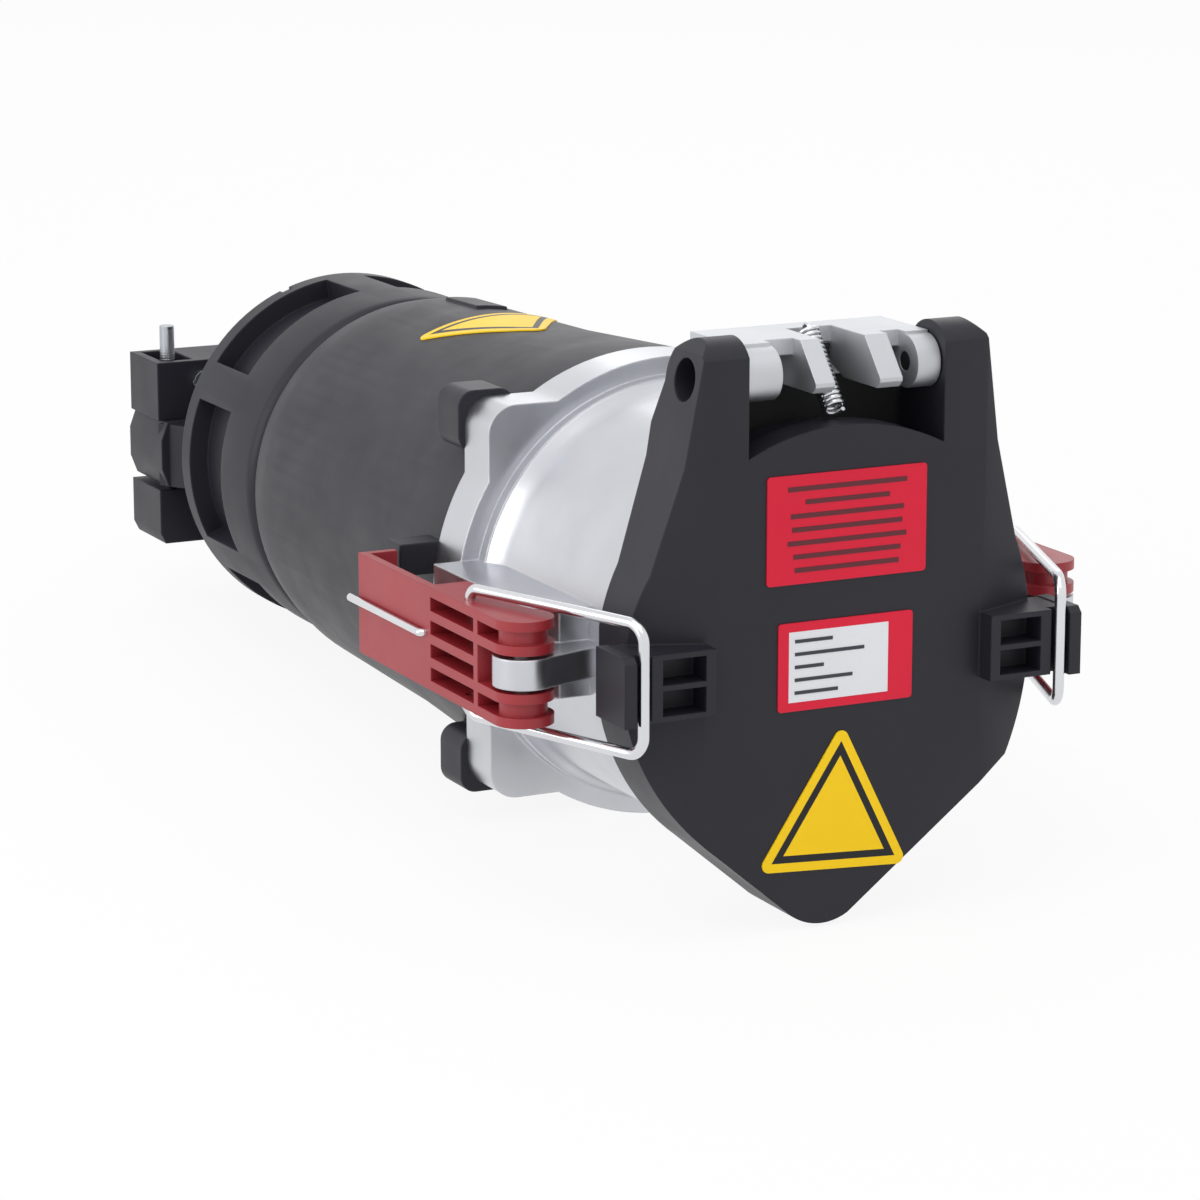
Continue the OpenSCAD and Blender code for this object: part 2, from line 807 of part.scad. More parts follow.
module hinge_pins() {
    color("gray")
        for (pin = [[-1, left_barrel_x], [1, right_barrel_x]]) {
            seat = recess_in + pin_play;
            outer = seat + pin_head_t;
            start = min(pin[0] * pin[1], pin[0] * outer);
            head_start = min(pin[0] * seat, pin[0] * outer);
            bar_x_dir(-hinge_y, hinge_z, hinge_pin_r, start, start + outer - pin[1]);
            bar_x_dir(-hinge_y, hinge_z, pin_recess_r - play, head_start, head_start + pin_head_t);
        }
}

// Place of a point on the spring's wire, by its angle
coil_low_z = crown_r + coil_foot_lift;
coil_high_z = bracket_top - coil_head_drop;
coil_axis = [0, coil_foot_y - coil_head_y, coil_high_z - coil_low_z];
coil_len = norm(coil_axis);
coil_tilt = atan2(coil_axis[1], coil_axis[2]);
coil_steps = 10;
wire_sides = 6;
coil_count = coil_turns * coil_steps;
function coil_ring(i) = [
    for (k = [0 : wire_sides - 1])
        let (a = 360 * i / coil_steps, b = 360 * k / wire_sides, r = coil_r + coil_wire_r * cos(b))
            [r * cos(a), r * sin(a), coil_len * i / coil_count + coil_wire_r * sin(b)]
];

module lid_spring() {
    points = [for (i = [0 : coil_count]) each coil_ring(i)];
    sides = [
        for (i = [0 : coil_count - 1], k = [0 : wire_sides - 1])
            let (n = (k + 1) % wire_sides, a = i * wire_sides, b = a + wire_sides)
                [a + k, b + k, b + n, a + n]
    ];
    first = [for (k = [0 : wire_sides - 1]) k];
    last = [for (k = [wire_sides - 1 : -1 : 0]) coil_count * wire_sides + k];
    color("whitesmoke")
        translate([0, -coil_foot_y, coil_low_z])
            rotate([-coil_tilt, 0, 0])
                polyhedron(points, concat([first], [last], sides));
}

// Front view of the lid
module lid_outline() {
    circle(r = lid_r);
    intersection() {
        circle(r = crown_r);
        translate([-ear_in, 0])
            square([2 * ear_in, crown_r]);
    }
    translate([-tongue_x, -tongue_drop])
        circle(r = tongue_r);
    polygon([
        (lid_r - tuck) * tongue_left, [-tongue_x, -tongue_drop] + (tongue_r - tuck) * tongue_left,
        [-tongue_x, -tongue_drop] + (tongue_r - tuck) * tongue_right, (lid_r - tuck) * tongue_right
    ]);
    for (side = [-1, 1]) {
        top = hinge_z + ear_r;
        polygon([
            [side * ear_in, 0], [side * ear_in, top], [side * (ear_out - ear_round), top],
            [side * ear_out, top - ear_round], [side * ear_mid_x, ear_mid_z],
            [side * ear_low_x, ear_low_z], [side * ear_low_x, 0]
        ]);
    }
}

// Plan of the lid with its sloping sides
module lid_plan() {
    side_y = -lid_front + side_slope * (far / 2 - slab_half);
    polygon([
        [-far / 2 - over, lid_back], [-far / 2, side_y], [-slab_half, -lid_front],
        [slab_half, -lid_front], [far / 2, side_y], [far / 2 + over, lid_back]
    ]);
}

// Side view of the lid with the round ears
module lid_side() {
    polygon([
        [-lid_front, hinge_z], [-lid_front, -tongue_low - over], [lid_back, -tongue_low - over],
        [lid_back, ear_back_z], [ear_r - hinge_y, hinge_z - ear_heel], [ear_r - hinge_y, hinge_z]
    ]);
    translate([-hinge_y, hinge_z])
        circle(r = ear_r);
}

// Cuts the slanted side along the face's lower right edge
module face_slant() {
    slope = (lid_r - face_edge) / face_edge_depth;
    rotate([0, face_edge_turn, 0])
        along_z(-far, far)
            polygon([
                [face_edge - slope * over, -lid_front - over], [far, -lid_front - over],
                [far, face_edge_depth + over - lid_front], [lid_r + slope * over, face_edge_depth + over - lid_front]
            ]);
}

// One catch on the right of the lid
module catch() {
    low = latch_z - catch_half;
    translate([slab_half - over, -catch_front, low])
        cube([groove_in_x - slab_half + over, catch_front - catch_back, 2 * catch_half]);
    translate([groove_in_x - over, -groove_floor, low])
        cube([groove_out_x - groove_in_x + 2 * over, groove_floor - catch_back, 2 * catch_half]);
    along_x(groove_out_x, groove_out_x + catch_flange_t)
        polygon([
            [-catch_flange_front, latch_z - catch_flange_half], [-catch_flange_back, latch_z - catch_flange_half],
            [-catch_flange_back, latch_z + catch_flange_half],
            [catch_bevel - catch_flange_front, latch_z + catch_flange_half],
            [-catch_flange_front, latch_z + catch_flange_half - catch_bevel]
        ]);
}

// The two pockets in the catch on the right
module catch_pockets() {
    depth_y = -lid_front + side_slope * (pocket_in_x - slab_half) + pocket_sink;
    pocket_h = catch_half - 1.5 * catch_rib;
    for (low = [latch_z - catch_half + catch_rib, latch_z + catch_rib / 2])
        translate([pocket_in_x, -far, low])
            cube([pocket_out_x - pocket_in_x, far + depth_y, pocket_h]);
}

module lid() {
    color("#3c3d44")
        difference() {
            union() {
                intersection() {
                    along_y(-far, far)
                        lid_outline();
                    along_z(-far, far)
                        lid_plan();
                    along_x(-far, far)
                        lid_side();
                }
                for (side = [0, 1])
                    mirror([side, 0, 0])
                        catch();
            }
            face_slant();
            for (side = [0, 1])
                mirror([side, 0, 0]) {
                    catch_pockets();
                    translate([flat_x, -catch_back, latch_z - flat_half])
                        cube([far, far, 2 * flat_half]);
                }
            along_y(crown_len - lid_front, over)
                difference() {
                    translate([-ear_in, 0])
                        square([2 * ear_in, far]);
                    circle(r = lid_r);
                }
            bar_y_dir(0, 0, hollow_r, lid_skin - lid_front, over);
            bar_y_dir(0, 0, hollow_wide_r, -hollow_depth, over);
            bar_y_dir(0, 0, gasket_r + seat_fit, lid_back - gasket_t, over);
            for (side = [0, 1])
                mirror([side, 0, 0]) {
                    bar_x_dir(-hinge_y, hinge_z, hinge_pin_r + run_fit, ear_in - over, far / 2);
                    bar_x_dir(-hinge_y, hinge_z, pin_recess_r, recess_in, far / 2);
                }
        }
}

module lid_gasket() {
    front = lid_back - gasket_t;
    color("#202124")
        turned([
            [gasket_bore, front], [gasket_r, front],
            [gasket_r, -gasket_gap], [gasket_bore, -gasket_gap]
        ]);
}

module caution_panel() {
    color("crimson")
        along_y(-lid_front - label_t, -lid_front)
            translate([-panel_half, panel_low])
                round_rect(2 * panel_half, panel_h, label_r);
}

module rating_plate() {
    color("crimson")
        along_y(-lid_front - label_t, -lid_front)
            translate([-rating_half, -rating_low])
                round_rect(2 * rating_half, rating_h, label_r);
}

module lid_triangle() {
    color("gold")
        along_y(-lid_front - label_t, -lid_front)
            translate([-sign_x, -sign_low])
                rotate(-sign_turn)
                    round_triangle(sign_side, sign_r);
}

// Outer radius of the rear housing at a place along the axis
function body_at(y) =
    y < body_middle
        ? body_r + (body_mid_r - body_r) * (y - straight_end) / (body_middle - straight_end)
        : body_mid_r + (body_end_r - body_mid_r) * (y - body_middle) / (shoulder_y - body_middle);

module body_triangle() {
    height = body_sign_side * sqrt(3) / 2;
    front = body_sign_y - over;
    back = body_sign_y + height + over;
    color("gold")
        rotate([0, -body_sign_turn, 0])
            intersection() {
                turned([
                    [body_at(front) + sign_lift, front], [body_mid_r + sign_lift, body_middle],
                    [body_at(back) + sign_lift, back], [body_at(back) + sign_lift + label_t, back],
                    [body_mid_r + sign_lift + label_t, body_middle],
                    [body_at(front) + sign_lift + label_t, front]
                ]);
                along_z(0, far)
                    translate([0, body_sign_y + height])
                        mirror([0, 1])
                            round_triangle(body_sign_side, sign_r);
            }
}

// Plan of an outer plate of the right lever
module plate_plan() {
    translate([pivot_x, pivot_y])
        circle(r = prong_r);
    polygon([
        [pivot_x - prong_r, pivot_y], [lever_out_x, pivot_y], [lever_out_x, block_end_y],
        [plate_in_x, block_end_y], [plate_in_x, divider_y]
    ]);
}

// The right lever
module lever() {
    color("#a8343a")
        difference() {
            union() {
                for (k = [-2, -1, 1, 2])
                    along_z(latch_z + k * plate_pitch - plate_t / 2, latch_z + k * plate_pitch + plate_t / 2)
                        plate_plan();
                translate([plate_in_x, divider_y, latch_z - plate_t / 2])
                    cube([lever_out_x - plate_in_x, block_end_y - divider_y, plate_t]);
                for (y = [divider_y, block_end_y - lever_wall])
                    translate([plate_in_x, y, latch_z - lever_half])
                        cube([lever_out_x - plate_in_x, lever_wall, 2 * lever_half]);
                translate([lever_out_x - lever_wall, block_end_y - over, latch_z - lever_half])
                    cube([lever_wall, lever_end_y - block_end_y + over, 2 * lever_half]);
                translate([lever_return_x, lever_end_y - lever_wall, latch_z - lever_half])
                    cube([lever_out_x - lever_return_x, lever_wall, 2 * lever_half]);
                for (low = [plate_pitch - over, -2 * plate_pitch - over])
                    translate([pivot_x, pivot_y, latch_z + low])
                        cylinder(r = prong_r - spacer_step, h = plate_pitch + 2 * over);
            }
            translate([pivot_x, pivot_y, latch_z - far])
                cylinder(r = lever_pin_r + seat_fit, h = far + lever_half - plate_t + blind_depth);
            for (low = [-lever_half - over, hook_end - over])
                translate([bail_x, bail_y, latch_z + low])
                    cylinder(r = wire_r + run_fit, h = lever_half - hook_end + 2 * over);
            bar_x_dir(clip_y, latch_z + clip_z, clip_r + seat_fit, lever_out_x - lever_wall - over, far);
        }
}

// The right bail, drawn in its own plane from the pivot and then turned
module bail() {
    color("whitesmoke")
        translate([bail_x, bail_y, latch_z])
            rotate([0, 0, bail_turn])
                for (side = [0, 1])
                    mirror([0, 0, side])
                        bail_half_wire();
}

// Upper half of the bail
module bail_half_wire() {
    translate([bail_reach, 0, 0])
        cylinder(r = wire_r, h = bail_half - bend_r);
    translate([bail_reach - bend_r, 0, bail_half - bend_r])
        rotate([90, 0, 0])
            rotate_extrude(angle = 90)
                translate([bend_r, 0])
                    circle(r = wire_r);
    translate([hook_r, 0, bail_half])
        rotate([0, 90, 0])
            cylinder(r = wire_r, h = bail_reach - bend_r - hook_r);
    translate([hook_r, 0, bail_half - hook_r])
        rotate([90, 0, 0])
            rotate([0, 0, 90])
                rotate_extrude(angle = 90)
                    translate([hook_r, 0])
                        circle(r = wire_r);
    translate([0, 0, hook_end])
        cylinder(r = wire_r, h = bail_half - hook_r - hook_end);
}

// The right lever's pin
module lever_pin() {
    low = lever_half - pin_recess;
    high = lever_half - plate_t + blind_depth - run_fit;
    color("silver")
        translate([pivot_x, pivot_y, latch_z - low])
            cylinder(r = lever_pin_r, h = low + high);
}

// The locking wire on the right lever
module lever_clip() {
    inner = lever_out_x - lever_wall - clip_tail;
    color("whitesmoke") {
        bar_x_dir(clip_y, latch_z + clip_z, clip_r, inner, clip_x - clip_r);
        translate([clip_x - clip_r, clip_y + clip_r, latch_z + clip_z])
            rotate([0, 0, -90])
                rotate_extrude(angle = 90)
                    translate([clip_r, 0])
                        circle(r = clip_r - bend_step);
        bar_y_dir(clip_x, latch_z + clip_z, clip_r, clip_y + clip_r, lever_end_y + clip_over);
    }
}

// Place of one contact, counted from the upper right
function contact_at(n) = contact_circle * [cos(45 + 90 * n), sin(45 + 90 * n)];

module contact_carrier() {
    rim_y = collar_len;
    color("#2b2c30")
        difference() {
            turned([
                [0, carrier_front], [carrier_r, carrier_front], [carrier_r, rim_y - ledge_y],
                [bore_r - free_gap, rim_y - ledge_y + ledge_cone], [bore_r - free_gap, rim_y], [rim_r, rim_y],
                [rim_r, rim_y + rim_t], [0, rim_y + rim_t]
            ]);
            for (n = [0 : 3])
                bar_y_dir(contact_at(n)[0], contact_at(n)[1], sleeve_r + seat_fit, 0, far);
            bar_y_dir(0, 0, pilot_r + seat_fit, 0, far);
        }
}

module contact_sleeve(n) {
    rear = collar_len + rim_t;
    c = contact_at(n);
    color("goldenrod")
        difference() {
            union() {
                bar_y_dir(c[0], c[1], sleeve_r, carrier_front + sleeve_inset, rear + over);
                bar_y_dir(c[0], c[1], terminal_r, rear, rear + terminal_len);
            }
            bar_y_dir(c[0], c[1], sleeve_bore, carrier_front, rear - sleeve_floor);
            bar_y_dir(c[0], c[1], wire_hole_r, rear + terminal_floor, rear + terminal_len + over);
            translate([c[0], terminal_screw_y, c[1]])
                rotate([0, 90 - (45 + 90 * n), 0])
                    cylinder(r = terminal_screw_r + seat_fit, h = terminal_r + over);
        }
}

module pilot_sleeve() {
    rear = collar_len + rim_t;
    color("goldenrod")
        difference() {
            union() {
                bar_y_dir(0, 0, pilot_r, carrier_front + sleeve_inset, rear + over);
                bar_y_dir(0, 0, pilot_r + pilot_step, rear, rear + terminal_len / 2);
            }
            bar_y_dir(0, 0, pilot_bore, carrier_front, rear - pilot_floor);
            bar_y_dir(0, 0, pilot_bore, rear, rear + terminal_len);
        }
}

module terminal_screws() {
    color("gray")
        for (n = [0 : 3])
            translate([contact_at(n)[0], terminal_screw_y, contact_at(n)[1]])
                rotate([0, 90 - (45 + 90 * n), 0])
                    translate([0, 0, wire_hole_r - over])
                        difference() {
                            cylinder(r = terminal_screw_r, h = terminal_screw_len);
                            translate([0, 0, terminal_screw_len - terminal_key])
                                cylinder(r = terminal_screw_r / 2, h = terminal_key + over, $fn = hex_sides);
                        }
}

module rear_housing() {
    lip_y = seal_y - seat_lip;
    front = flange_end - spigot_len;
    groove_y = front + seal_lead;
    color("#3c3d44")
        difference() {
            union() {
                turned([
                    [0, front], [spigot_r, front], [spigot_r, groove_y],
                    [spigot_r - seal_t, groove_y], [spigot_r - seal_t, groove_y + seal_w],
                    [spigot_r, groove_y + seal_w], [spigot_r, flange_end - over],
                    [body_r, flange_end - over], [body_r, straight_end],
                    [body_mid_r, body_middle], [body_end_r, shoulder_y],
                    [body_end_r - shoulder_drop * 0.2, shoulder_y + shoulder_len * 0.4],
                    [body_end_r - shoulder_drop * 0.5, shoulder_y + shoulder_len * 0.75],
                    [body_end_r - shoulder_drop, body_end], [thread_r, body_end],
                    [thread_r, thread_end], [0, thread_end]
                ]);
                at_screws(screw_pos)
                    along_y(flange_end - 2 * over, boss_end)
                        translate([-boss_half, -boss_half])
                            round_rect(2 * boss_half, 2 * boss_half, boss_edge);
                for (side = [0, 1])
                    mirror([side, 0, 0])
                        translate([body_mid_r - body_wall, flange_end - 2 * over, rest_low])
                            cube([rest_x - body_mid_r + body_wall, rest_len + 2 * over, rest_h]);
                intersection() {
                    turned([
                        [0, pad_start], [body_at(pad_start) + pad_t, pad_start],
                        [body_at(pad_end) + pad_t, pad_end], [0, pad_end]
                    ]);
                    translate([pad_x, pad_start - over, 0])
                        cube([pad_w, pad_len + 2 * over, far]);
                }
            }
            turned([
                [spigot_r, flange_end - 3 * over], [far, flange_end - 3 * over], [far, flange_end], [spigot_r, flange_end]
            ]);
            turned([
                [0, front - over], [spigot_bore, front - over], [spigot_bore, flange_end + cavity_lead],
                [body_r - body_wall, flange_end + cavity_lead + cavity_cone], [body_mid_r - body_wall, body_middle],
                [body_end_r - body_wall, shoulder_y - over], [body_end_r - body_wall - lip_step, lip_y - lip_step],
                [cable_r + lip_step, lip_y], [0, lip_y]
            ]);
            bar_y_dir(0, 0, cable_r + seal_side, lip_y - over, thread_end + over);
            bar_y_dir(0, 0, seat_r, seal_y, thread_end + over);
            at_screws(screw_pos)
                union() {
                    bar_y_dir(0, 0, m6_free_r, flange_end - over, boss_end + over);
                    bar_y_dir(0, 0, m6_head_r + play, boss_end, shoulder_y);
                }
        }
}

module housing_seal() {
    front = flange_end - spigot_len + seal_lead;
    color("#202124")
        turned([
            [spigot_r - seal_t, front], [seat_bore, front],
            [seat_bore, front + seal_w], [spigot_r - seal_t, front + seal_w]
        ]);
}

module flange_screws() {
    color("silver")
        at_screws(screw_pos)
            difference() {
                union() {
                    bar_y_dir(0, 0, m6_r, flange_end - screw_depth + over, boss_end + over);
                    bar_y_dir(0, 0, m6_head_r, boss_end, boss_end + m6_head_t);
                }
                translate([0, boss_end + m6_head_t - m6_key_depth, 0])
                    rotate([-90, 0, 0])
                        cylinder(r = m6_key_r, h = m6_key_depth + over, $fn = hex_sides);
            }
}

// Front view of one pocket of the nut, as a wedge outside a ring
module pocket_wedge() {
    difference() {
        polygon([
            [0, 0], far * [cos(-pocket_angle / 2), sin(-pocket_angle / 2)],
            far * [cos(pocket_angle / 2), sin(pocket_angle / 2)]
        ]);
        circle(r = nut_r - pocket_depth);
    }
}

module gland_nut() {
    pocket_y = nut_y + nut_front_len;
    color("#3c3d44")
        difference() {
            turned([
                [nut_bore, nut_y], [nut_r - nut_edge, nut_y],
                [nut_r - nut_edge * (1 - sin(30)), nut_y + nut_edge * (1 - cos(30))],
                [nut_r - nut_edge * (1 - sin(60)), nut_y + nut_edge * (1 - cos(60))], [nut_r, nut_y + nut_edge],
                [nut_r, nut_end - nut_back_edge], [nut_r - nut_back_edge, nut_end], [neck_r + free_gap, nut_end],
                [neck_r + free_gap, lip_back], [nut_bore, lip_back]
            ]);
            for (turn = [pocket_turn : 60 : pocket_turn + 300])
                along_y(pocket_y, lip_back)
                    rotate(turn)
                        pocket_wedge();
            rotate([0, notch_turn, 0])
                translate([nut_r - notch_depth, nut_end - notch_len, -notch_w / 2])
                    cube([2 * notch_depth, notch_len + over, notch_w]);
        }
}

module cable_seal() {
    color("#202124")
        turned([
            [cable_r + seal_side, seal_y], [seat_r - seal_play, seal_y],
            [seat_r - seal_play, seal_end], [cable_r + seal_side, seal_end]
        ]);
}

module thrust_ring() {
    color("#2b2c30")
        turned([
            [cable_r + seal_side, seal_end], [seat_r - play, seal_end],
            [seat_r - play, thrust_end], [cable_r + seal_side, thrust_end]
        ]);
}

module cable_neck() {
    flange_front = lip_back - neck_flange_t;
    color("#3c3d44")
        difference() {
            union() {
                turned([
                    [0, thrust_end], [seat_r - free_gap, thrust_end], [seat_r - free_gap, flange_front],
                    [neck_flange_r, flange_front], [neck_flange_r, lip_back], [neck_r, lip_back],
                    [neck_r, nut_end + neck_lead], [neck_r - neck_step, nut_end + neck_lead + neck_step],
                    [neck_end_r, clamp_y - ear_root], [neck_end_r, clamp_y], [0, clamp_y]
                ]);
                along_z(-clamp_ear_low, clamp_ear_top - over)
                    polygon([
                        [-clamp_half, clamp_y + over], [clamp_ear_step - clamp_half, clamp_y - clamp_ear_lead],
                        [clamp_half - clamp_ear_step, clamp_y - clamp_ear_lead], [clamp_half, clamp_y + over]
                    ]);
                intersection() {
                    along_y(clamp_y - ear_root, clamp_end) {
                        circle(r = neck_end_r);
                        polygon([
                            [-ear_narrow, -clamp_ear_low], [ear_narrow, -clamp_ear_low],
                            [ear_wide, ear_bulge - clamp_ear_low], [ear_wide, clamp_ear_top - ear_bulge],
                            [ear_narrow, clamp_ear_top], [-ear_narrow, clamp_ear_top],
                            [-ear_wide, clamp_ear_top - ear_bulge], [-ear_wide, ear_bulge - clamp_ear_low]
                        ]);
                    }
                    translate([-far, 0, -clamp_ear_low])
                        cube([2 * far, clamp_end + over, clamp_ear_low + clamp_ear_top]);
                }
            }
            bar_y_dir(0, 0, cable_r, thrust_end - over, clamp_end + over);
            for (side = [-1, 1])
                translate([side * bolt_x, clamp_y + clamp_len / 2, -clamp_ear_low - over])
                    cylinder(r = m6_free_r, h = clamp_ear_low + clamp_ear_top + 2 * over);
        }
}

module clamp_upper_jaw() {
    front = clamp_y + free_gap;
    color("#3c3d44")
        difference() {
            along_y(front, clamp_end - free_gap)
                difference() {
                    union() {
                        translate([-clamp_half, clamp_ear_top])
                            square([2 * clamp_half, jaw_top - clamp_ear_top]);
                        intersection() {
                            circle(r = neck_end_r);
                            translate([-neck_end_r, clamp_ear_top])
                                square([2 * neck_end_r, neck_end_r]);
                        }
                    }
                    circle(r = jaw_bore);
                }
            for (side = [0, 1])
                mirror([side, 0, 0]) {
                    translate([bolt_x, clamp_y + clamp_len / 2, 0])
                        cylinder(r = m6_free_r, h = far);
                    translate([bolt_x - m6_nut_r - free_gap, front + recess_wall, recess_floor])
                        cube([
                            clamp_half - recess_wall - bolt_x + m6_nut_r + free_gap,
                            clamp_len - 2 * free_gap - 2 * recess_wall, far
                        ]);
                    bar_y_dir(lock_x, lock_z, lock_r + seat_fit, 0, front + lock_len + over);
                }
        }
}

module clamp_lower_jaw() {
    top = -clamp_ear_low - jaw_gap;
    color("#3c3d44")
        difference() {
            along_y(clamp_y + free_gap, clamp_end - free_gap)
                difference() {
                    polygon([
                        [-clamp_half, top], [-clamp_half, 2 * jaw_bevel - jaw_low], [jaw_bevel - clamp_half, -jaw_low],
                        [clamp_half - jaw_bevel, -jaw_low], [clamp_half, 2 * jaw_bevel - jaw_low], [clamp_half, top]
                    ]);
                    circle(r = jaw_bore);
                }
            for (side = [-1, 1])
                translate([side * bolt_x, clamp_y + clamp_len / 2, -jaw_low - over]) {
                    cylinder(r = m6_free_r, h = far);
                    cylinder(r = m6_nut_r + play, h = m6_nut_t + 2 * over);
                }
        }
}

module clamp_bolts() {
    head = -jaw_low + m6_nut_t + over;
    color("silver")
        for (side = [-1, 1])
            translate([side * bolt_x, clamp_y + clamp_len / 2, 0]) {
                translate([0, 0, head - over])
                    cylinder(r = bolt_r, h = bolt_top - head + over);
                translate([0, 0, head - m6_nut_t])
                    cylinder(r = m6_nut_r, h = m6_nut_t, $fn = hex_sides);
            }
}

module clamp_nuts() {
    color("silver")
        for (side = [-1, 1])
            translate([side * bolt_x, clamp_y + clamp_len / 2, recess_floor])
                difference() {
                    cylinder(r = m6_nut_r, h = m6_nut_t, $fn = hex_sides);
                    translate([0, 0, -over])
                        cylinder(r = bolt_r + seat_fit, h = m6_nut_t + 2 * over);
                }
}

module clamp_lock_screws() {
    front = clamp_y + free_gap;
    color("silver")
        for (side = [-1, 1])
            difference() {
                union() {
                    bar_y_dir(side * lock_x, lock_z, lock_r, front - over, front + lock_len);
                    bar_y_dir(side * lock_x, lock_z, lock_head_r, front - lock_head_t, front);
                }
                translate([side * lock_x - lock_head_r, front - lock_head_t - over, lock_z - slot_w / 2])
                    cube([2 * lock_head_r, slot_depth + over, slot_w]);
            }
}

front_housing();
hinge_bracket();
hinge_facing();
bracket_screws();
hinge_pins();
lid_spring();
lid();
lid_gasket();
caution_panel();
rating_plate();
lid_triangle();
body_triangle();
lever();  // latch_lever_right
mirror([1, 0, 0]) lever();  // latch_lever_left
bail();  // bail_right
mirror([1, 0, 0]) bail();  // bail_left
lever_pin();  // lever_pin_right
mirror([1, 0, 0]) lever_pin();  // lever_pin_left
lever_clip();  // lever_clip_right
mirror([1, 0, 0]) lever_clip();  // lever_clip_left
contact_carrier();
contact_sleeve(0);  // contact_sleeve_1
contact_sleeve(1);  // contact_sleeve_2
contact_sleeve(2);  // contact_sleeve_3
contact_sleeve(3);  // contact_sleeve_4
pilot_sleeve();
terminal_screws();
rear_housing();
housing_seal();
flange_screws();
gland_nut();
cable_seal();
thrust_ring();
cable_neck();
clamp_upper_jaw();
clamp_lower_jaw();
clamp_bolts();
clamp_nuts();
clamp_lock_screws();
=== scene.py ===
"""Looks of a heavy extension socket with a hinged lid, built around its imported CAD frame."""

import logging
import math
from dataclasses import dataclass
from enum import Enum

import bmesh
import bpy
from mathutils import Matrix, Vector

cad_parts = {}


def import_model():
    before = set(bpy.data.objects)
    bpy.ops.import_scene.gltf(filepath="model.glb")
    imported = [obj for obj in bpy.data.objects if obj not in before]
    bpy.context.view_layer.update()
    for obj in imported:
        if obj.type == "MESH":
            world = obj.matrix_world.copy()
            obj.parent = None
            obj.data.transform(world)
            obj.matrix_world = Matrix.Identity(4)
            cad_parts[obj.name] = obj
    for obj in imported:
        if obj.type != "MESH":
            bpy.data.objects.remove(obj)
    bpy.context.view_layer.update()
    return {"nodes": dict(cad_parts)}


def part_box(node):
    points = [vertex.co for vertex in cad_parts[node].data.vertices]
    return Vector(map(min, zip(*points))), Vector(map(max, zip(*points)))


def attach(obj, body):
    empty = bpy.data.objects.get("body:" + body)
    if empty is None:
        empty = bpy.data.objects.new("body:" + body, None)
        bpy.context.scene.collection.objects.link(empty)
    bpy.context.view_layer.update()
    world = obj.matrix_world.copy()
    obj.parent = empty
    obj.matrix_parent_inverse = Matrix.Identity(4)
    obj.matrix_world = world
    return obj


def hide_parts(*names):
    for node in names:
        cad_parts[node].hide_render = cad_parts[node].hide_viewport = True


MM = 0.001
# Range of a noise texture's values that its map spreads over the whole change
NOISE_LOW, NOISE_HIGH = 0.3, 0.7
LOG = logging.getLogger("extension_socket")


def linear(hex_colour: str) -> tuple[float, float, float, float]:
    """Turns an sRGB hex colour into linear light.

    Args:
        hex_colour: The colour, such as "#3c3d44".

    Returns:
        Red, green, blue and an alpha of one.
    """
    parts = [int(hex_colour[i:i + 2], 16) / 255 for i in (1, 3, 5)]
    light = [c / 12.92 if c <= 0.04045 else ((c + 0.055) / 1.055) ** 2.4 for c in parts]
    return light[0], light[1], light[2], 1.0


def add_node(tree: bpy.types.NodeTree, kind: str, inputs: dict | None = None,
             **settings: object) -> bpy.types.Node:
    """Adds a node with its settings and its links.

    Args:
        tree: The node tree that gets the node.
        kind: The node's type, such as "ShaderNodeMath".
        inputs: Values or sockets for its inputs, by name or index.
        **settings: Values of the node's own properties.

    Returns:
        The new node.
    """
    node = tree.nodes.new(kind)
    for name, value in settings.items():
        setattr(node, name, value)
    for name, value in (inputs or {}).items():
        if isinstance(value, bpy.types.NodeSocket):
            tree.links.new(value, node.inputs[name])
        else:
            node.inputs[name].default_value = value
    return node


def seen_directly(tree: bpy.types.NodeTree) -> bpy.types.NodeSocket:
    """Tells the rays that show a surface from the rays that it lights with.

    Args:
        tree: The node tree that gets the nodes.

    Returns:
        The socket that is one for camera, glossy and transmission rays.
    """
    rays = add_node(tree, "ShaderNodeLightPath").outputs
    seen = rays["Is Camera Ray"]
    for name in ("Is Glossy Ray", "Is Transmission Ray"):
        either = add_node(tree, "ShaderNodeMath", {0: seen, 1: rays[name]}, operation="MAXIMUM")
        seen = either.outputs["Value"]
    return seen


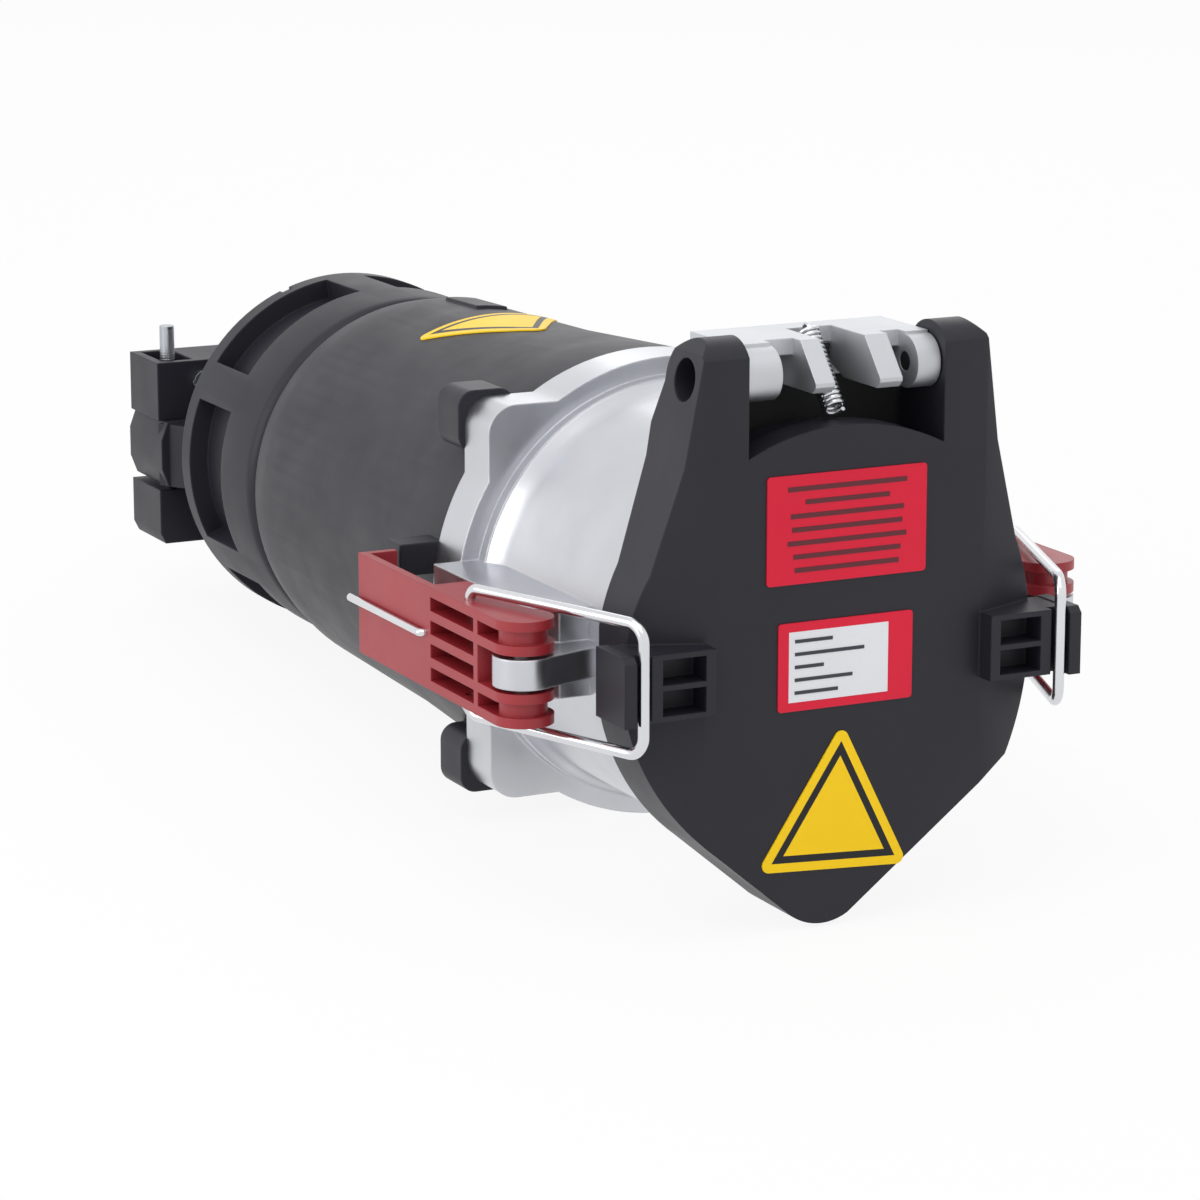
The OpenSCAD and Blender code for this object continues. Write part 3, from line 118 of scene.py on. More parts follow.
@dataclass(frozen=True)
class Finish:
    """A surface finish, drawn from the values that the real material has."""

    name: str
    colour: str
    roughness: float
    metallic: float = 0.0
    grain_mm: float = 0.5
    grain_depth_mm: float = 0.01
    cloud_mm: float = 45.0
    cloud_amount: float = 0.08
    tone_amount: float = 0.04
    patch_share: float = 0.4
    edge_mm: float = 0.5
    coat: float = 0.0
    coat_roughness: float = 0.25
    specular: float = 0.5

    def start(self) -> tuple[bpy.types.NodeTree, bpy.types.Material]:
        """Makes an empty material that uses nodes."""
        material = bpy.data.materials.new(self.name)
        material.use_nodes = True
        material.node_tree.nodes.clear()
        return material.node_tree, material

    def colour_socket(self, tree: bpy.types.NodeTree, place: bpy.types.NodeSocket) -> bpy.types.NodeSocket:
        """Draws the colour with a faint change of tone from place to place.

        Args:
            tree: The material's node tree.
            place: The socket with the place on the object.

        Returns:
            The socket with the colour.
        """
        cloud = add_node(
            tree, "ShaderNodeTexNoise", {"Vector": place, "Scale": 1 / (self.cloud_mm * MM), "Detail": 3.0},
        )
        tone = add_node(
            tree, "ShaderNodeMapRange",
            {"Value": cloud.outputs["Fac"], "From Min": NOISE_LOW, "From Max": NOISE_HIGH,
             "To Min": 1 - self.tone_amount, "To Max": 1 + self.tone_amount},
        )
        scaled = add_node(
            tree, "ShaderNodeVectorMath",
            {0: linear(self.colour)[:3], "Scale": tone.outputs["Result"]}, operation="SCALE",
        )
        return scaled.outputs["Vector"]

    def height_socket(self, tree: bpy.types.NodeTree, place: bpy.types.NodeSocket) -> bpy.types.NodeSocket:
        """Draws the fine grain of the surface as a height.

        Args:
            tree: The material's node tree.
            place: The socket with the place on the object.

        Returns:
            The socket with the height.
        """
        grain = add_node(
            tree, "ShaderNodeTexNoise",
            {"Vector": place, "Scale": 1 / (self.grain_mm * MM), "Detail": 2.0, "Roughness": 0.6},
        )
        return grain.outputs["Fac"]

    def make(self) -> bpy.types.Material:
        """Builds the material.

        Returns:
            The finished material.
        """
        tree, material = self.start()
        place = add_node(tree, "ShaderNodeTexCoord").outputs["Object"]
        patch = add_node(
            tree, "ShaderNodeTexNoise",
            {"Vector": place, "Scale": 1 / (self.cloud_mm * MM * self.patch_share), "Detail": 4.0},
        )
        change = self.cloud_amount / 2
        rough = add_node(
            tree, "ShaderNodeMapRange",
            {"Value": patch.outputs["Fac"], "From Min": NOISE_LOW, "From Max": NOISE_HIGH,
             "To Min": self.roughness - change, "To Max": self.roughness + change},
        )
        edge = add_node(tree, "ShaderNodeBevel", {"Radius": self.edge_mm * MM}, samples=4)
        bump = add_node(
            tree, "ShaderNodeBump",
            {"Height": self.height_socket(tree, place), "Strength": 1.0,
             "Distance": self.grain_depth_mm * MM, "Normal": edge.outputs["Normal"]},
        )
        surface = add_node(
            tree, "ShaderNodeBsdfPrincipled",
            {"Base Color": self.colour_socket(tree, place), "Roughness": rough.outputs["Result"],
             "Metallic": self.metallic, "Normal": bump.outputs["Normal"], "Coat Weight": self.coat,
             "Coat Roughness": self.coat_roughness, "Specular IOR Level": self.specular},
        )
        add_node(tree, "ShaderNodeOutputMaterial", {"Surface": surface.outputs["BSDF"]})
        return material


@dataclass(frozen=True)
class TurnedSteel(Finish):
    """Zinc-plated steel with the fine rings of turning across it."""

    ring_mm: float = 0.5
    wave_rings: int = 20

    def height_socket(self, tree: bpy.types.NodeTree, place: bpy.types.NodeSocket) -> bpy.types.NodeSocket:
        """Draws fine turned lines over the grain.

        Args:
            tree: The material's node tree.
            place: The socket with the place on the object.

        Returns:
            The socket with the height.
        """
        lines = add_node(
            tree, "ShaderNodeTexWave",
            {"Vector": place, "Scale": 1 / (self.ring_mm * MM * self.wave_rings),
             "Distortion": 1.2, "Detail": 2.0},
        )
        return lines.outputs["Fac"]


class SignPlane(Enum):
    """The two axes that a triangular sign's print is drawn in."""

    FRONT = (0, 2)
    TOP = (0, 1)


@dataclass(frozen=True)
class TriangleSign(Finish):
    """A yellow plate with a plain dark line that follows its three sides."""

    line_colour: str = "#17171a"
    plane: SignPlane = SignPlane.FRONT
    side_mm: float = 50.0
    base_mm: tuple[float, float] = (0.0, 0.0)
    turn_deg: float = 0.0
    flip: bool = False
    line_start_mm: float = 2.8
    line_width_mm: float = 2.3

    def colour_socket(self, tree: bpy.types.NodeTree, place: bpy.types.NodeSocket) -> bpy.types.NodeSocket:
        """Draws the dark line between two distances from the plate's sides.

        Args:
            tree: The material's node tree.
            place: The socket with the place on the object.

        Returns:
            The socket with the colour.
        """
        first, second = self.plane.value
        up = -1 if self.flip else 1
        turn = math.radians(-self.turn_deg)
        height = self.side_mm * math.sqrt(3) / 2
        nearest = None
        for angle, reach in ((90, 0.0), (210, height), (330, height)):
            normal = (math.cos(math.radians(angle)), up * math.sin(math.radians(angle)))
            turned = (
                normal[0] * math.cos(turn) - normal[1] * math.sin(turn),
                normal[0] * math.sin(turn) + normal[1] * math.cos(turn),
            )
            corner = (
                self.base_mm[0] - up * reach * math.sin(turn),
                self.base_mm[1] + up * reach * math.cos(turn),
            )
            direction = [0.0, 0.0, 0.0]
            direction[first], direction[second] = turned
            along = add_node(tree, "ShaderNodeVectorMath", {0: place, 1: direction}, operation="DOT_PRODUCT")
            inside = add_node(
                tree, "ShaderNodeMath",
                {0: along.outputs["Value"], 1: (turned[0] * corner[0] + turned[1] * corner[1]) * MM},
                operation="SUBTRACT",
            ).outputs["Value"]
            nearest = inside if nearest is None else add_node(
                tree, "ShaderNodeMath", {0: nearest, 1: inside}, operation="MINIMUM"
            ).outputs["Value"]
        middle = (self.line_start_mm + self.line_width_mm / 2) * MM
        on_line = add_node(
            tree, "ShaderNodeMath", {0: nearest, 1: middle, 2: self.line_width_mm / 2 * MM},
            operation="COMPARE",
        )
        mix = add_node(
            tree, "ShaderNodeMix",
            {"Factor": on_line.outputs["Value"], 6: linear(self.colour), 7: linear(self.line_colour)},
            data_type="RGBA",
        )
        return mix.outputs[2]


# Glass-filled nylon from a spark-eroded mould: charcoal, with soft wide highlights
BLACK_NYLON = Finish("moulded_nylon_black", "#23232b", 0.45, grain_mm=0.7, grain_depth_mm=0.02,
                     edge_mm=0.9, specular=0.32)
# Phenolic insulator, darker and more matt than the casing
INSULATOR = Finish("moulded_insulator", "#1d1e22", 0.55, grain_mm=0.6, grain_depth_mm=0.01)
# Brick-red nylon of the levers, a little glossier than the casing
RED_NYLON = Finish("moulded_nylon_red", "#9a2830", 0.4, grain_mm=0.6, grain_depth_mm=0.012, edge_mm=0.4)
# Die-cast aluminium after tumbling: satin, with faint clouds
CAST_ALUMINIUM = Finish("die_cast_aluminium", "#cdced3", 0.33, 1.0, grain_mm=0.9, grain_depth_mm=0.006,
                        cloud_mm=30.0, cloud_amount=0.1, edge_mm=0.8)
# Sand-blasted aluminium: pale and evenly rough
BLASTED_ALUMINIUM = Finish("blasted_aluminium", "#c8cace", 0.55, 1.0, grain_mm=0.45, grain_depth_mm=0.02,
                           edge_mm=0.5)
# Drawn stainless wire, bright along its length
DRAWN_WIRE = Finish("drawn_steel_wire", "#dadbde", 0.17, 1.0, grain_mm=0.8, grain_depth_mm=0.002,
                    edge_mm=0.2)
# Zinc-plated screws and bolts
ZINC_STEEL = TurnedSteel("zinc_plated_steel", "#b4b7bd", 0.3, 1.0, grain_depth_mm=0.004, edge_mm=0.3)
# Turned brass of the contacts
CONTACT_BRASS = TurnedSteel("turned_brass", "#c8a35a", 0.27, 1.0, grain_depth_mm=0.003, edge_mm=0.3)
# Black nitrile rubber of the seals
SEAL_RUBBER = Finish("nitrile_rubber", "#141416", 0.7, grain_mm=0.5, grain_depth_mm=0.02)
# Steel of the hinge pins, dark grey as painted shade for the recesses that they sit in
PIN_STEEL_PAINTED_SHADE = TurnedSteel("pin_steel_painted_shade", "#2a2a2d", 0.45, 0.6, grain_depth_mm=0.003, edge_mm=0.3)
# Screen-printed vinyl with a clear film on it
RED_PRINT = Finish("printed_vinyl_crimson", "#dd1437", 0.42, grain_mm=1.2, grain_depth_mm=0.004,
                   coat=0.05, edge_mm=0.15, specular=0.3)
# Dark ink of the red panel's bars
DARK_PRINT = Finish("printed_ink_dark_red", "#5c1522", 0.5, grain_depth_mm=0.002, edge_mm=0.05)
# Pale vinyl of the rating plate's field
PALE_PRINT = Finish("printed_vinyl_pale", "#e6e7ec", 0.42, grain_mm=1.2, grain_depth_mm=0.003,
                    coat=0.08, edge_mm=0.1)
# Grey ink of the rating plate's bars
GREY_PRINT = Finish("printed_ink_grey", "#33353f", 0.5, grain_depth_mm=0.002, edge_mm=0.05)
# Yellow vinyl of the two triangles
LID_SIGN = TriangleSign("printed_vinyl_yellow", "#ffd200", 0.42, grain_mm=1.2, grain_depth_mm=0.004,
                        coat=0.05, edge_mm=0.15, specular=0.3,
                        side_mm=53.0, base_mm=(-3.6, -64.6), turn_deg=3.5)
BODY_SIGN = TriangleSign("printed_vinyl_yellow_top", "#ffd200", 0.42, grain_mm=1.2, grain_depth_mm=0.004,
                         coat=0.05, edge_mm=0.15, specular=0.3,
                         plane=SignPlane.TOP, side_mm=56.0, base_mm=(-3.7, 223.5), flip=True)


def dress(node: bpy.types.Object, material: bpy.types.Material) -> None:
    """Gives an object one material.

    Args:
        node: The object.
        material: The material that all its faces get.
    """
    node.data.materials.clear()
    node.data.materials.append(material)


def set_shading(mesh: bmesh.types.BMesh, angle_deg: float = 32.0) -> None:
    """Shades a mesh smooth, with its corners kept sharp.

    Args:
        mesh: The bmesh.
        angle_deg: The angle between two faces from which their edge is sharp.
    """
    for face in mesh.faces:
        face.smooth = True
    for edge in mesh.edges:
        edge.smooth = edge.calc_face_angle(math.pi) < math.radians(angle_deg)


def add_block(mesh: bmesh.types.BMesh, low: Vector, high: Vector) -> None:
    """Adds a block between two corners.

    Args:
        mesh: The bmesh that gets the block.
        low: Its lowest corner, in metres.
        high: Its highest corner, in metres.
    """
    size = high - low
    place = Matrix.Translation((low + high) / 2) @ Matrix.Diagonal((*size, 1.0))
    bmesh.ops.create_cube(mesh, size=1.0, matrix=place)


def add_section(mesh: bmesh.types.BMesh, sides: int, radius: float, place: Matrix) -> list:
    """Adds the round section that a wire or a ridge is swept from.

    Args:
        mesh: The bmesh that gets it.
        sides: Sides of the section.
        radius: Its radius, in metres.
        place: Where it stands, with its normal along Z.

    Returns:
        Its corners, its edges and its face.
    """
    circle = bmesh.ops.create_circle(mesh, cap_ends=True, segments=sides, radius=radius, matrix=place)
    corners = circle["verts"]
    edges = {edge for corner in corners for edge in corner.link_edges}
    faces = {face for corner in corners for face in corner.link_faces}
    return corners + list(edges) + list(faces)


def add_helix(mesh: bmesh.types.BMesh, place: Matrix, radius: float, wire: float, sides: int,
              pitch: float, turns: float, steps: int) -> None:
    """Adds a wire or a ridge that winds around an axis.

    Args:
        mesh: The bmesh that gets it.
        place: The axis's start, with the axis along Z.
        radius: Distance from the axis to the wire's middle, in metres.
        wire: Radius of the wire, in metres.
        sides: Sides of the wire's section.
        pitch: Rise over one turn, in metres.
        turns: Number of turns.
        steps: Steps in one turn.
    """
    upright = Matrix.Translation((radius, 0.0, 0.0)) @ Matrix.Rotation(math.pi / 2, 4, "X")
    parts = add_section(mesh, sides, wire, place @ upright)
    axis = place.to_3x3() @ Vector((0.0, 0.0, 1.0))
    bmesh.ops.spin(
        mesh, geom=parts, cent=place.translation, axis=axis, dvec=axis * (pitch / steps),
        angle=2 * math.pi * turns, steps=round(turns * steps), use_duplicate=False,
    )
    bmesh.ops.recalc_face_normals(mesh, faces=mesh.faces)


@dataclass(frozen=True)
class Shell:
    """How one CAD node is shown: its body, slot, finish and the rounding of its edges."""

    node: str
    body: str
    slot: str
    finish: Finish
    edge: float = 0.0
    segments: int = 2


@dataclass
class SubAssembly:
    """Pieces that belong together, with the materials that they share."""

    nodes: dict
    materials: dict
    weld: float = 0.002 * MM
    flat_deg: float = 0.5
    corner_deg: float = 32.0

    def shells(self) -> tuple[Shell, ...]:
        """Lists the CAD nodes that the sub-assembly shows."""
        return ()

    def build(self) -> None:
        """Builds the pieces that CAD doesn't have."""

    def dress(self) -> None:
        """Gives each CAD node its finish, and its round edges where it has them."""
        for shell in self.shells():
            material = self.material(shell.finish)
            if shell.edge:
                self.round_edges(shell, material)
            else:
                dress(self.nodes[shell.node], material)
                LOG.info("node %s is %s", shell.node, shell.finish.name)

    def material(self, finish: Finish) -> bpy.types.Material:
        """Gives a finish's material, made once.

        Args:
            finish: The finish.

        Returns:
            Its material.
        """
        if finish.name not in self.materials:
            self.materials[finish.name] = finish.make()
        return self.materials[finish.name]

    def round_edges(self, shell: Shell, material: bpy.types.Material) -> None:
        """Replaces a CAD node with a merged copy whose corners are rounded.

        Args:
            shell: The node and its rounding.
            material: The copy's material.
        """
        mesh = bmesh.new()
        mesh.from_mesh(self.nodes[shell.node].data)
        bmesh.ops.remove_doubles(mesh, verts=mesh.verts, dist=self.weld)
        bmesh.ops.dissolve_limit(
            mesh, angle_limit=math.radians(self.flat_deg), verts=mesh.verts, edges=mesh.edges,
        )
        set_shading(mesh, self.corner_deg)
        piece = self.add_piece(f"{shell.node}_shell", mesh, shell.body, shell.slot, material)
        bevel = piece.modifiers.new("round_edges", "BEVEL")
        bevel.limit_method = "ANGLE"
        bevel.angle_limit = math.radians(self.corner_deg)
        bevel.width = shell.edge
        bevel.segments = shell.segments
        bevel.profile = 0.5
        bevel.use_clamp_overlap = True
        bevel.harden_normals = True
        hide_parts(shell.node)

    def add_piece(self, name: str, mesh: bmesh.types.BMesh, body: str, slot: str,
                  material: bpy.types.Material) -> bpy.types.Object:
        """Turns a bmesh into a finished piece that rides on a body.

        Args:
            name: The piece's name.
            mesh: Its shape, in metres in the part's own frame.
            body: The body that carries it.
            slot: Name of a material slot; not used.
            material: Its material.

        Returns:
            The new object.
        """
        data = bpy.data.meshes.new(name)
        mesh.to_mesh(data)
        mesh.free()
        piece = bpy.data.objects.new(name, data)
        bpy.context.scene.collection.objects.link(piece)
        dress(piece, material)
        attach(piece, body)
        LOG.info("piece %s has %d faces", name, len(data.polygons))
        return piece


@dataclass
class PlugCollar(SubAssembly):
    """The aluminium collar with the hinge bracket on it."""

    def shells(self) -> tuple[Shell, ...]:
        """Lists the collar, the bracket and their screws."""
        return (
            Shell("front_housing", "housing", "cast_aluminium", CAST_ALUMINIUM, 0.7 * MM),
            Shell("hinge_bracket", "housing", "blasted_aluminium", BLASTED_ALUMINIUM, 0.5 * MM),
            Shell("bracket_screws", "housing", "steel", ZINC_STEEL),
            # A thin black sheet behind the hinge fins darkens the space under the bracket; that dark is
            # partly painted shade, and what really lies there is unknown
            Shell("hinge_facing", "housing", "rubber", SEAL_RUBBER),
            # The hinge pins' dark colour is painted shade from their recesses in the ears
            Shell("hinge_pins", "housing", "steel", PIN_STEEL_PAINTED_SHADE, 0.4 * MM),
        )


@dataclass
class SpringLid(SubAssembly):
    """The lid with its plates, its gasket and its spring."""

    bar_t: float = 0.12 * MM
    row_half: tuple[float, ...] = (20.5, 14.5, 19.5, 19.0, 20.5, 18.5, 18.0)
    row_pitch: float = 4.15 * MM
    row_h: float = 1.5 * MM
    field_left: float = 3.6 * MM
    field_right: float = 8.6 * MM
    field_edge: float = 2.8 * MM
    line_w: tuple[float, ...] = (13.0, 24.0, 10.0, 20.0, 15.0)
    line_pitch: float = 4.0 * MM
    line_h: float = 1.1 * MM
    line_inset: float = 2.0 * MM
    spring_wire: float = 0.7 * MM
    spring_turns: int = 17
    spring_sides: int = 10
    spring_steps: int = 20
    lean_rounds: int = 20
    hook_r: float = 1.9 * MM
    hook_lift: float = 0.35
    hook_steps: int = 16
    hook_deg: float = 250.0

    def shells(self) -> tuple[Shell, ...]:
        """Lists the lid and what it carries."""
        return (
            Shell("lid", "lid", "black_plastic", BLACK_NYLON, 1.0 * MM, 3),
            Shell("lid_gasket", "lid", "rubber", SEAL_RUBBER, 0.4 * MM),
            Shell("caution_panel", "lid", "red_label", RED_PRINT),
            Shell("rating_plate", "lid", "red_label", RED_PRINT),
            Shell("lid_triangle", "lid", "yellow_label", LID_SIGN),
        )

    def build(self) -> None:
        """Builds the print on the plates and the round wire of the spring."""
        self.build_panel()
        self.build_rating()
        self.build_spring()

    def build_panel(self) -> None:
        """Builds the rows of bars on the red panel."""
        low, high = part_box("caution_panel")
        middle = (low.x + high.x) / 2
        top = (low.z + high.z) / 2 + self.row_pitch * (len(self.row_half) - 1) / 2
        mesh = bmesh.new()
        for row, half in enumerate(self.row_half):
            z = top - row * self.row_pitch
            add_block(
                mesh, Vector((middle - half * MM, low.y - self.bar_t, z - self.row_h / 2)),
                Vector((middle + half * MM, low.y + self.bar_t, z + self.row_h / 2)),
            )
        self.add_piece("caution_bars", mesh, "lid", "red_label", self.material(DARK_PRINT))

    def build_rating(self) -> None:
        """Builds the pale field and its grey lines."""
        low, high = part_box("rating_plate")
        left = low.x + self.field_left
        right = high.x - self.field_right
        mesh = bmesh.new()
        add_block(
            mesh, Vector((left, low.y - self.bar_t, low.z + self.field_edge)),
            Vector((right, low.y + self.bar_t, high.z - self.field_edge)),
        )
        self.add_piece("rating_field", mesh, "lid", "red_label", self.material(PALE_PRINT))
        lines = bmesh.new()
        top = (low.z + high.z) / 2 + self.line_pitch * (len(self.line_w) - 1) / 2
        for row, width in enumerate(self.line_w):
            z = top - row * self.line_pitch
            add_block(
                lines, Vector((left + self.line_inset, low.y - 2 * self.bar_t, z - self.line_h / 2)),
                Vector((left + self.line_inset + width * MM, low.y, z + self.line_h / 2)),
            )
        self.add_piece("rating_lines", lines, "lid", "red_label", self.material(GREY_PRINT))

    def build_spring(self) -> None:
        """Winds the lid's spring of round wire within its CAD box."""
        low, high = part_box("lid_spring")
        half = (high.x - low.x) / 2
        depth, rise = high.y - low.y, high.z - low.z
        lean = math.atan2(depth, rise)
        for _ in range(self.lean_rounds):
            lean = math.atan2(depth - 2 * half * math.cos(lean), rise - 2 * half * math.sin(lean))
        foot = Vector((0.0, low.y + half * math.cos(lean), low.z + half * math.sin(lean)))
        length = (rise - 2 * half * math.sin(lean)) / math.cos(lean)
        place = Matrix.Translation(foot) @ Matrix.Rotation(-lean, 4, "X")
        mesh = bmesh.new()
        add_helix(mesh, place, half - self.spring_wire, self.spring_wire, self.spring_sides,
                  length / self.spring_turns, self.spring_turns, self.spring_steps)
        self.add_hook(mesh, place @ Vector((0.0, 0.0, length + self.hook_r * self.hook_lift)))
        set_shading(mesh)
        spring = self.add_piece("round_spring", mesh, "housing", "bright_wire", self.material(DRAWN_WIRE))
        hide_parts("lid_spring")


    def add_hook(self, mesh: bmesh.types.BMesh, centre: Vector) -> None:
        """Bends the hook that holds the spring's head on the bracket.

        Args:
            mesh: The bmesh that gets the hook.
            centre: Middle of the hook's bend, in metres.
        """
        start = Matrix.Translation(centre + Vector((0.0, -self.hook_r, 0.0)))
        parts = add_section(mesh, self.spring_sides, self.spring_wire, start)
        bmesh.ops.spin(
            mesh, geom=parts, cent=centre, axis=(1.0, 0.0, 0.0), dvec=(0.0, 0.0, 0.0),
            angle=-math.radians(self.hook_deg), steps=self.hook_steps, use_duplicate=False,
        )
        bmesh.ops.recalc_face_normals(mesh, faces=mesh.faces)


@dataclass
class SideLatch(SubAssembly):
    """One red lever with its bail, its pin and its locking wire."""

    side: str = "left"

    def shells(self) -> tuple[Shell, ...]:
        """Lists the latch's pieces."""
        lever = f"lever_{self.side}"
        return (
            Shell(f"latch_{lever}", lever, "red_plastic", RED_NYLON, 0.6 * MM, 3),
            Shell(f"{lever.replace('lever', 'bail')}", f"bail_{self.side}", "bright_wire", DRAWN_WIRE),
            Shell(f"lever_pin_{self.side}", lever, "steel", ZINC_STEEL, 0.4 * MM),
            Shell(f"lever_clip_{self.side}", lever, "bright_wire", DRAWN_WIRE),
        )


@dataclass
class RearCasing(SubAssembly):
    """The rear housing with its screws, its triangle and the contacts inside."""

    def shells(self) -> tuple[Shell, ...]:
        """Lists the housing and what it holds."""
        sleeves = [f"contact_sleeve_{n}" for n in range(1, 5)] + ["pilot_sleeve"]
        return (
            Shell("rear_housing", "housing", "black_plastic", BLACK_NYLON, 0.9 * MM, 3),
            Shell("body_triangle", "housing", "yellow_label", BODY_SIGN),
            Shell("flange_screws", "housing", "steel", ZINC_STEEL, 0.4 * MM),
            Shell("housing_seal", "housing", "rubber", SEAL_RUBBER),
            Shell("contact_carrier", "housing", "insulator_plastic", INSULATOR, 0.8 * MM),
            Shell("terminal_screws", "housing", "steel", ZINC_STEEL),
            *(Shell(name, "housing", "brass", CONTACT_BRASS, 0.4 * MM) for name in sleeves),
        )


@dataclass
class CableEntry(SubAssembly):
    """The gland nut, the neck and the clamp with its threaded studs."""

    stud_x: float = 53.2 * MM
    stud_r: float = 2.8 * MM
    thread_pitch: float = 1.0 * MM
    thread_low: float = 22.5 * MM
    thread_rise: float = 0.2 * MM
    thread_sides: int = 3
    thread_steps: int = 18

    def shells(self) -> tuple[Shell, ...]:
        """Lists the pieces behind the housing."""
        return (
            Shell("gland_nut", "housing", "black_plastic", BLACK_NYLON, 0.9 * MM, 3),
            Shell("cable_seal", "housing", "rubber", SEAL_RUBBER),
            Shell("thrust_ring", "housing", "insulator_plastic", INSULATOR),
            Shell("cable_neck", "housing", "black_plastic", BLACK_NYLON, 0.8 * MM, 3),
            Shell("clamp_upper_jaw", "housing", "black_plastic", BLACK_NYLON, 0.8 * MM, 3),
            Shell("clamp_lower_jaw", "housing", "black_plastic", BLACK_NYLON, 0.8 * MM, 3),
            Shell("clamp_bolts", "housing", "steel", ZINC_STEEL, 0.3 * MM),
            Shell("clamp_nuts", "housing", "steel", ZINC_STEEL, 0.3 * MM),
            Shell("clamp_lock_screws", "housing", "steel", ZINC_STEEL, 0.3 * MM),
        )

    def build(self) -> None:
        """Winds the thread on both studs above the clamp's nuts."""
        low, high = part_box("clamp_bolts")
        turns = math.floor((high.z - self.thread_low) / self.thread_pitch) - 1
        mesh = bmesh.new()
        for side in (-1, 1):
            place = Matrix.Translation((side * self.stud_x, (low.y + high.y) / 2, self.thread_low))
            add_helix(mesh, place, self.stud_r - self.thread_rise, 2 * self.thread_rise, self.thread_sides,
                      self.thread_pitch, turns, self.thread_steps)
        set_shading(mesh)
        self.add_piece("stud_threads", mesh, "housing", "steel", self.material(ZINC_STEEL))


@dataclass(frozen=True)
class Lamp:
    """One soft square lamp: where it hangs, its side in metres and its power in watts."""

    name: str
    place: tuple[float, float, float]
    size: float
    power: float


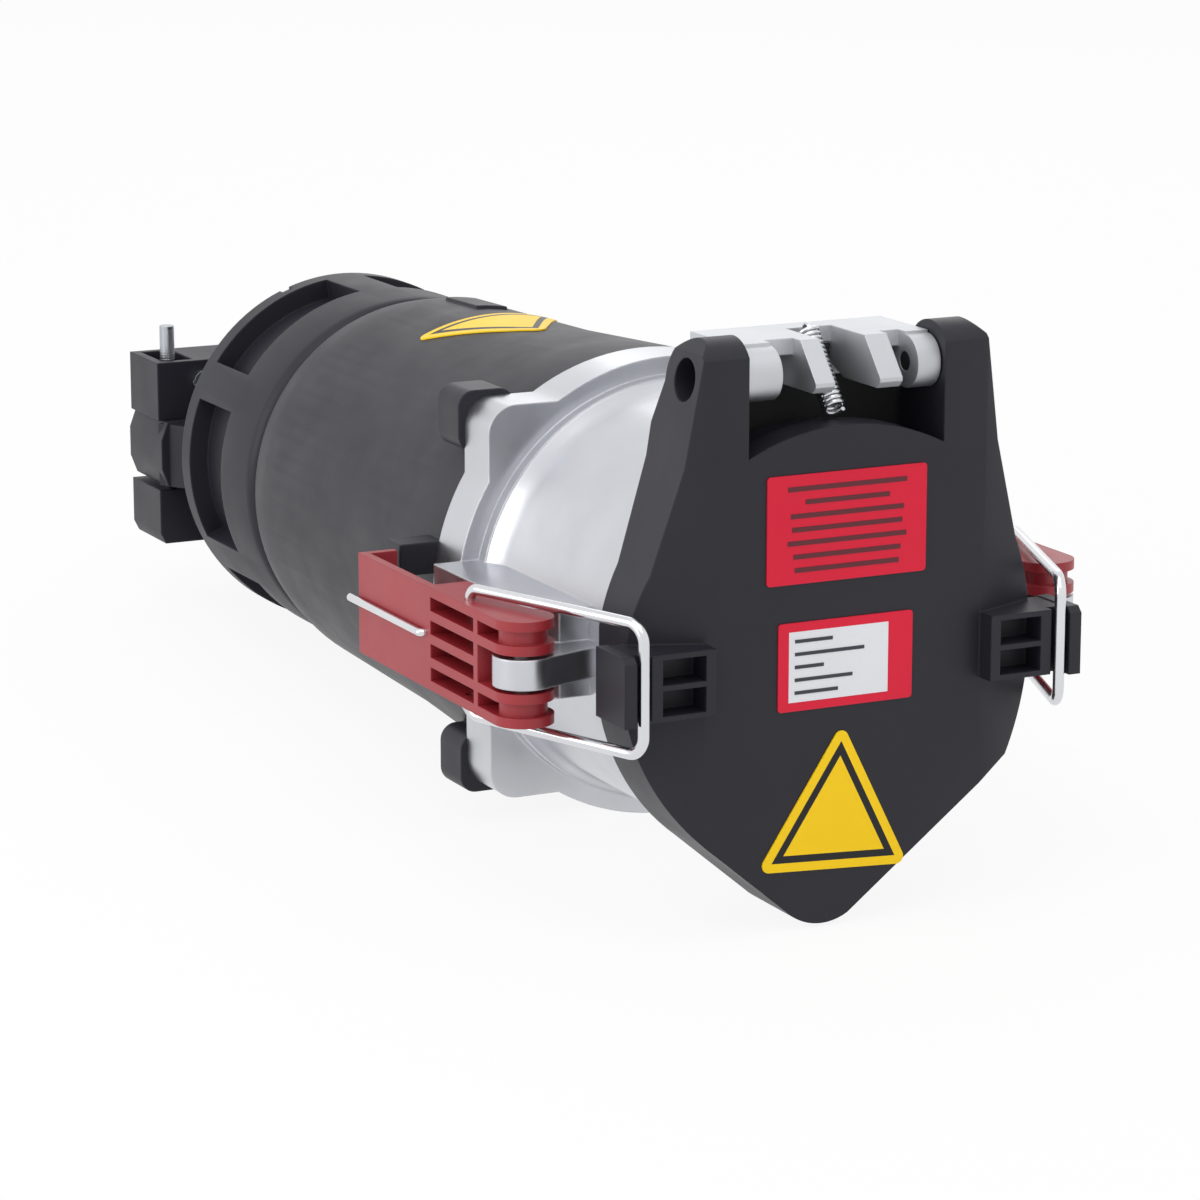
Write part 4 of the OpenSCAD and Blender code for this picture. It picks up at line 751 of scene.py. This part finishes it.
@dataclass
class Studio:
    """The camera, lamps, floor and white surroundings."""

    place_mm: tuple[float, float, float] = (-624.8, -1127.7, 310.2)
    right: tuple[float, float, float] = (0.8970, -0.4420, 0.0)
    up: tuple[float, float, float] = (0.0992, 0.2013, 0.9745)
    ahead: tuple[float, float, float] = (0.4307, 0.8741, -0.2244)
    lens_mm: float = 128.4
    sensor_mm: float = 36.0
    tongue_foot: tuple[float, float] = (-0.6 * MM, -81.7 * MM)
    nut_foot: tuple[float, float] = (363.0 * MM, -66.4 * MM)
    clip_end: float = 50.0
    lamps: tuple[Lamp, ...] = (
        Lamp("key_lamp", (-0.5, -0.5, 1.5), 1.6, 9.0),
        Lamp("fill_lamp", (-1.5, 0.2, 0.5), 1.0, 7.0),
        Lamp("back_lamp", (0.8, 1.3, 1.0), 1.0, 2.5),
    )
    lamps_aim: tuple[float, float, float] = (0.0, 0.15, 0.0)
    world_light: float = 0.7
    floor_half: float = 6.0
    floor_gap: float = 0.2 * MM
    floor_white: float = 0.9
    paper_tone: float = 0.93

    def build(self) -> None:
        """Builds the whole studio."""
        self.build_camera()
        self.build_lamps()
        self.build_world()
        self.build_floor()

    def build_camera(self) -> None:
        """Places the camera where the photograph was taken from."""
        data = bpy.data.cameras.new("camera")
        data.sensor_width = self.sensor_mm
        data.lens = self.lens_mm
        data.clip_end = self.clip_end
        camera = bpy.data.objects.new("camera", data)
        bpy.context.scene.collection.objects.link(camera)
        axes = [Vector(self.right), Vector(self.up), -Vector(self.ahead)]
        turn = Matrix(axes).transposed().to_4x4()
        camera.matrix_world = Matrix.Translation(Vector(self.place_mm) * MM) @ turn
        bpy.context.scene.camera = camera

    def build_lamps(self) -> None:
        """Adds a large key lamp above, a fill at the left and one behind, all turned to the object."""
        for lamp in self.lamps:
            data = bpy.data.lights.new(lamp.name, "AREA")
            data.size = lamp.size
            data.energy = lamp.power
            hung = bpy.data.objects.new(lamp.name, data)
            bpy.context.scene.collection.objects.link(hung)
            aim = Vector(self.lamps_aim) - Vector(lamp.place)
            hung.rotation_euler = aim.to_track_quat("-Z", "Y").to_euler()
            hung.location = lamp.place

    def build_world(self) -> None:
        """Makes the surroundings white where they are seen and even where they light."""
        world = bpy.data.worlds.new("studio")
        bpy.context.scene.world = world
        world.use_nodes = True
        tree = world.node_tree
        tree.nodes.clear()
        light = add_node(tree, "ShaderNodeBackground", {"Color": (1, 1, 1, 1), "Strength": self.world_light})
        white = add_node(tree, "ShaderNodeBackground", {"Color": (1, 1, 1, 1), "Strength": 1.0})
        mix = add_node(
            tree, "ShaderNodeMixShader", {0: seen_directly(tree), 1: light.outputs[0], 2: white.outputs[0]},
        )
        add_node(tree, "ShaderNodeOutputWorld", {"Surface": mix.outputs[0]})

    def build_floor(self) -> None:
        """Lays a pale floor under the tongue and the nut, which the part rests on."""
        mesh = bmesh.new()
        bmesh.ops.create_grid(mesh, x_segments=1, y_segments=1, size=self.floor_half)
        (y0, z0), (y1, z1) = self.tongue_foot, self.nut_foot
        tilt = Matrix.Rotation(math.atan2(z1 - z0, y1 - y0), 4, "X")
        foot = Matrix.Translation((0.0, y0, z0 - self.floor_gap))
        bmesh.ops.transform(mesh, matrix=foot @ tilt, verts=mesh.verts)
        data = bpy.data.meshes.new("floor")
        mesh.to_mesh(data)
        mesh.free()
        floor = bpy.data.objects.new("floor", data)
        bpy.context.scene.collection.objects.link(floor)
        material = bpy.data.materials.new("studio_paper")
        material.use_nodes = True
        tree = material.node_tree
        tree.nodes.clear()
        share = add_node(
            tree, "ShaderNodeMath", {0: seen_directly(tree), 1: self.floor_white}, operation="MULTIPLY",
        )
        tone = self.paper_tone
        paper = add_node(tree, "ShaderNodeBsdfDiffuse", {"Color": (tone, tone, tone, 1.0)})
        glow = add_node(tree, "ShaderNodeEmission", {"Color": (1, 1, 1, 1), "Strength": 1.0})
        mix = add_node(
            tree, "ShaderNodeMixShader",
            {0: share.outputs["Value"], 1: paper.outputs[0], 2: glow.outputs[0]},
        )
        add_node(tree, "ShaderNodeOutputMaterial", {"Surface": mix.outputs[0]})
        dress(floor, material)


def main() -> None:
    """Builds the scene in order: frame, finishes, added pieces, studio."""
    logging.basicConfig(level=logging.INFO, format="%(message)s")
    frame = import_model()
    bpy.context.scene.view_settings.view_transform = "Standard"
    nodes, materials = frame["nodes"], {}
    parts = (
        PlugCollar(nodes, materials), SpringLid(nodes, materials),
        SideLatch(nodes, materials, side="left"), SideLatch(nodes, materials, side="right"),
        RearCasing(nodes, materials), CableEntry(nodes, materials),
    )
    for part in parts:
        part.dress()
        part.build()
        LOG.info("built %s", type(part).__name__)
    Studio().build()


if __name__ == "__main__":
    main()
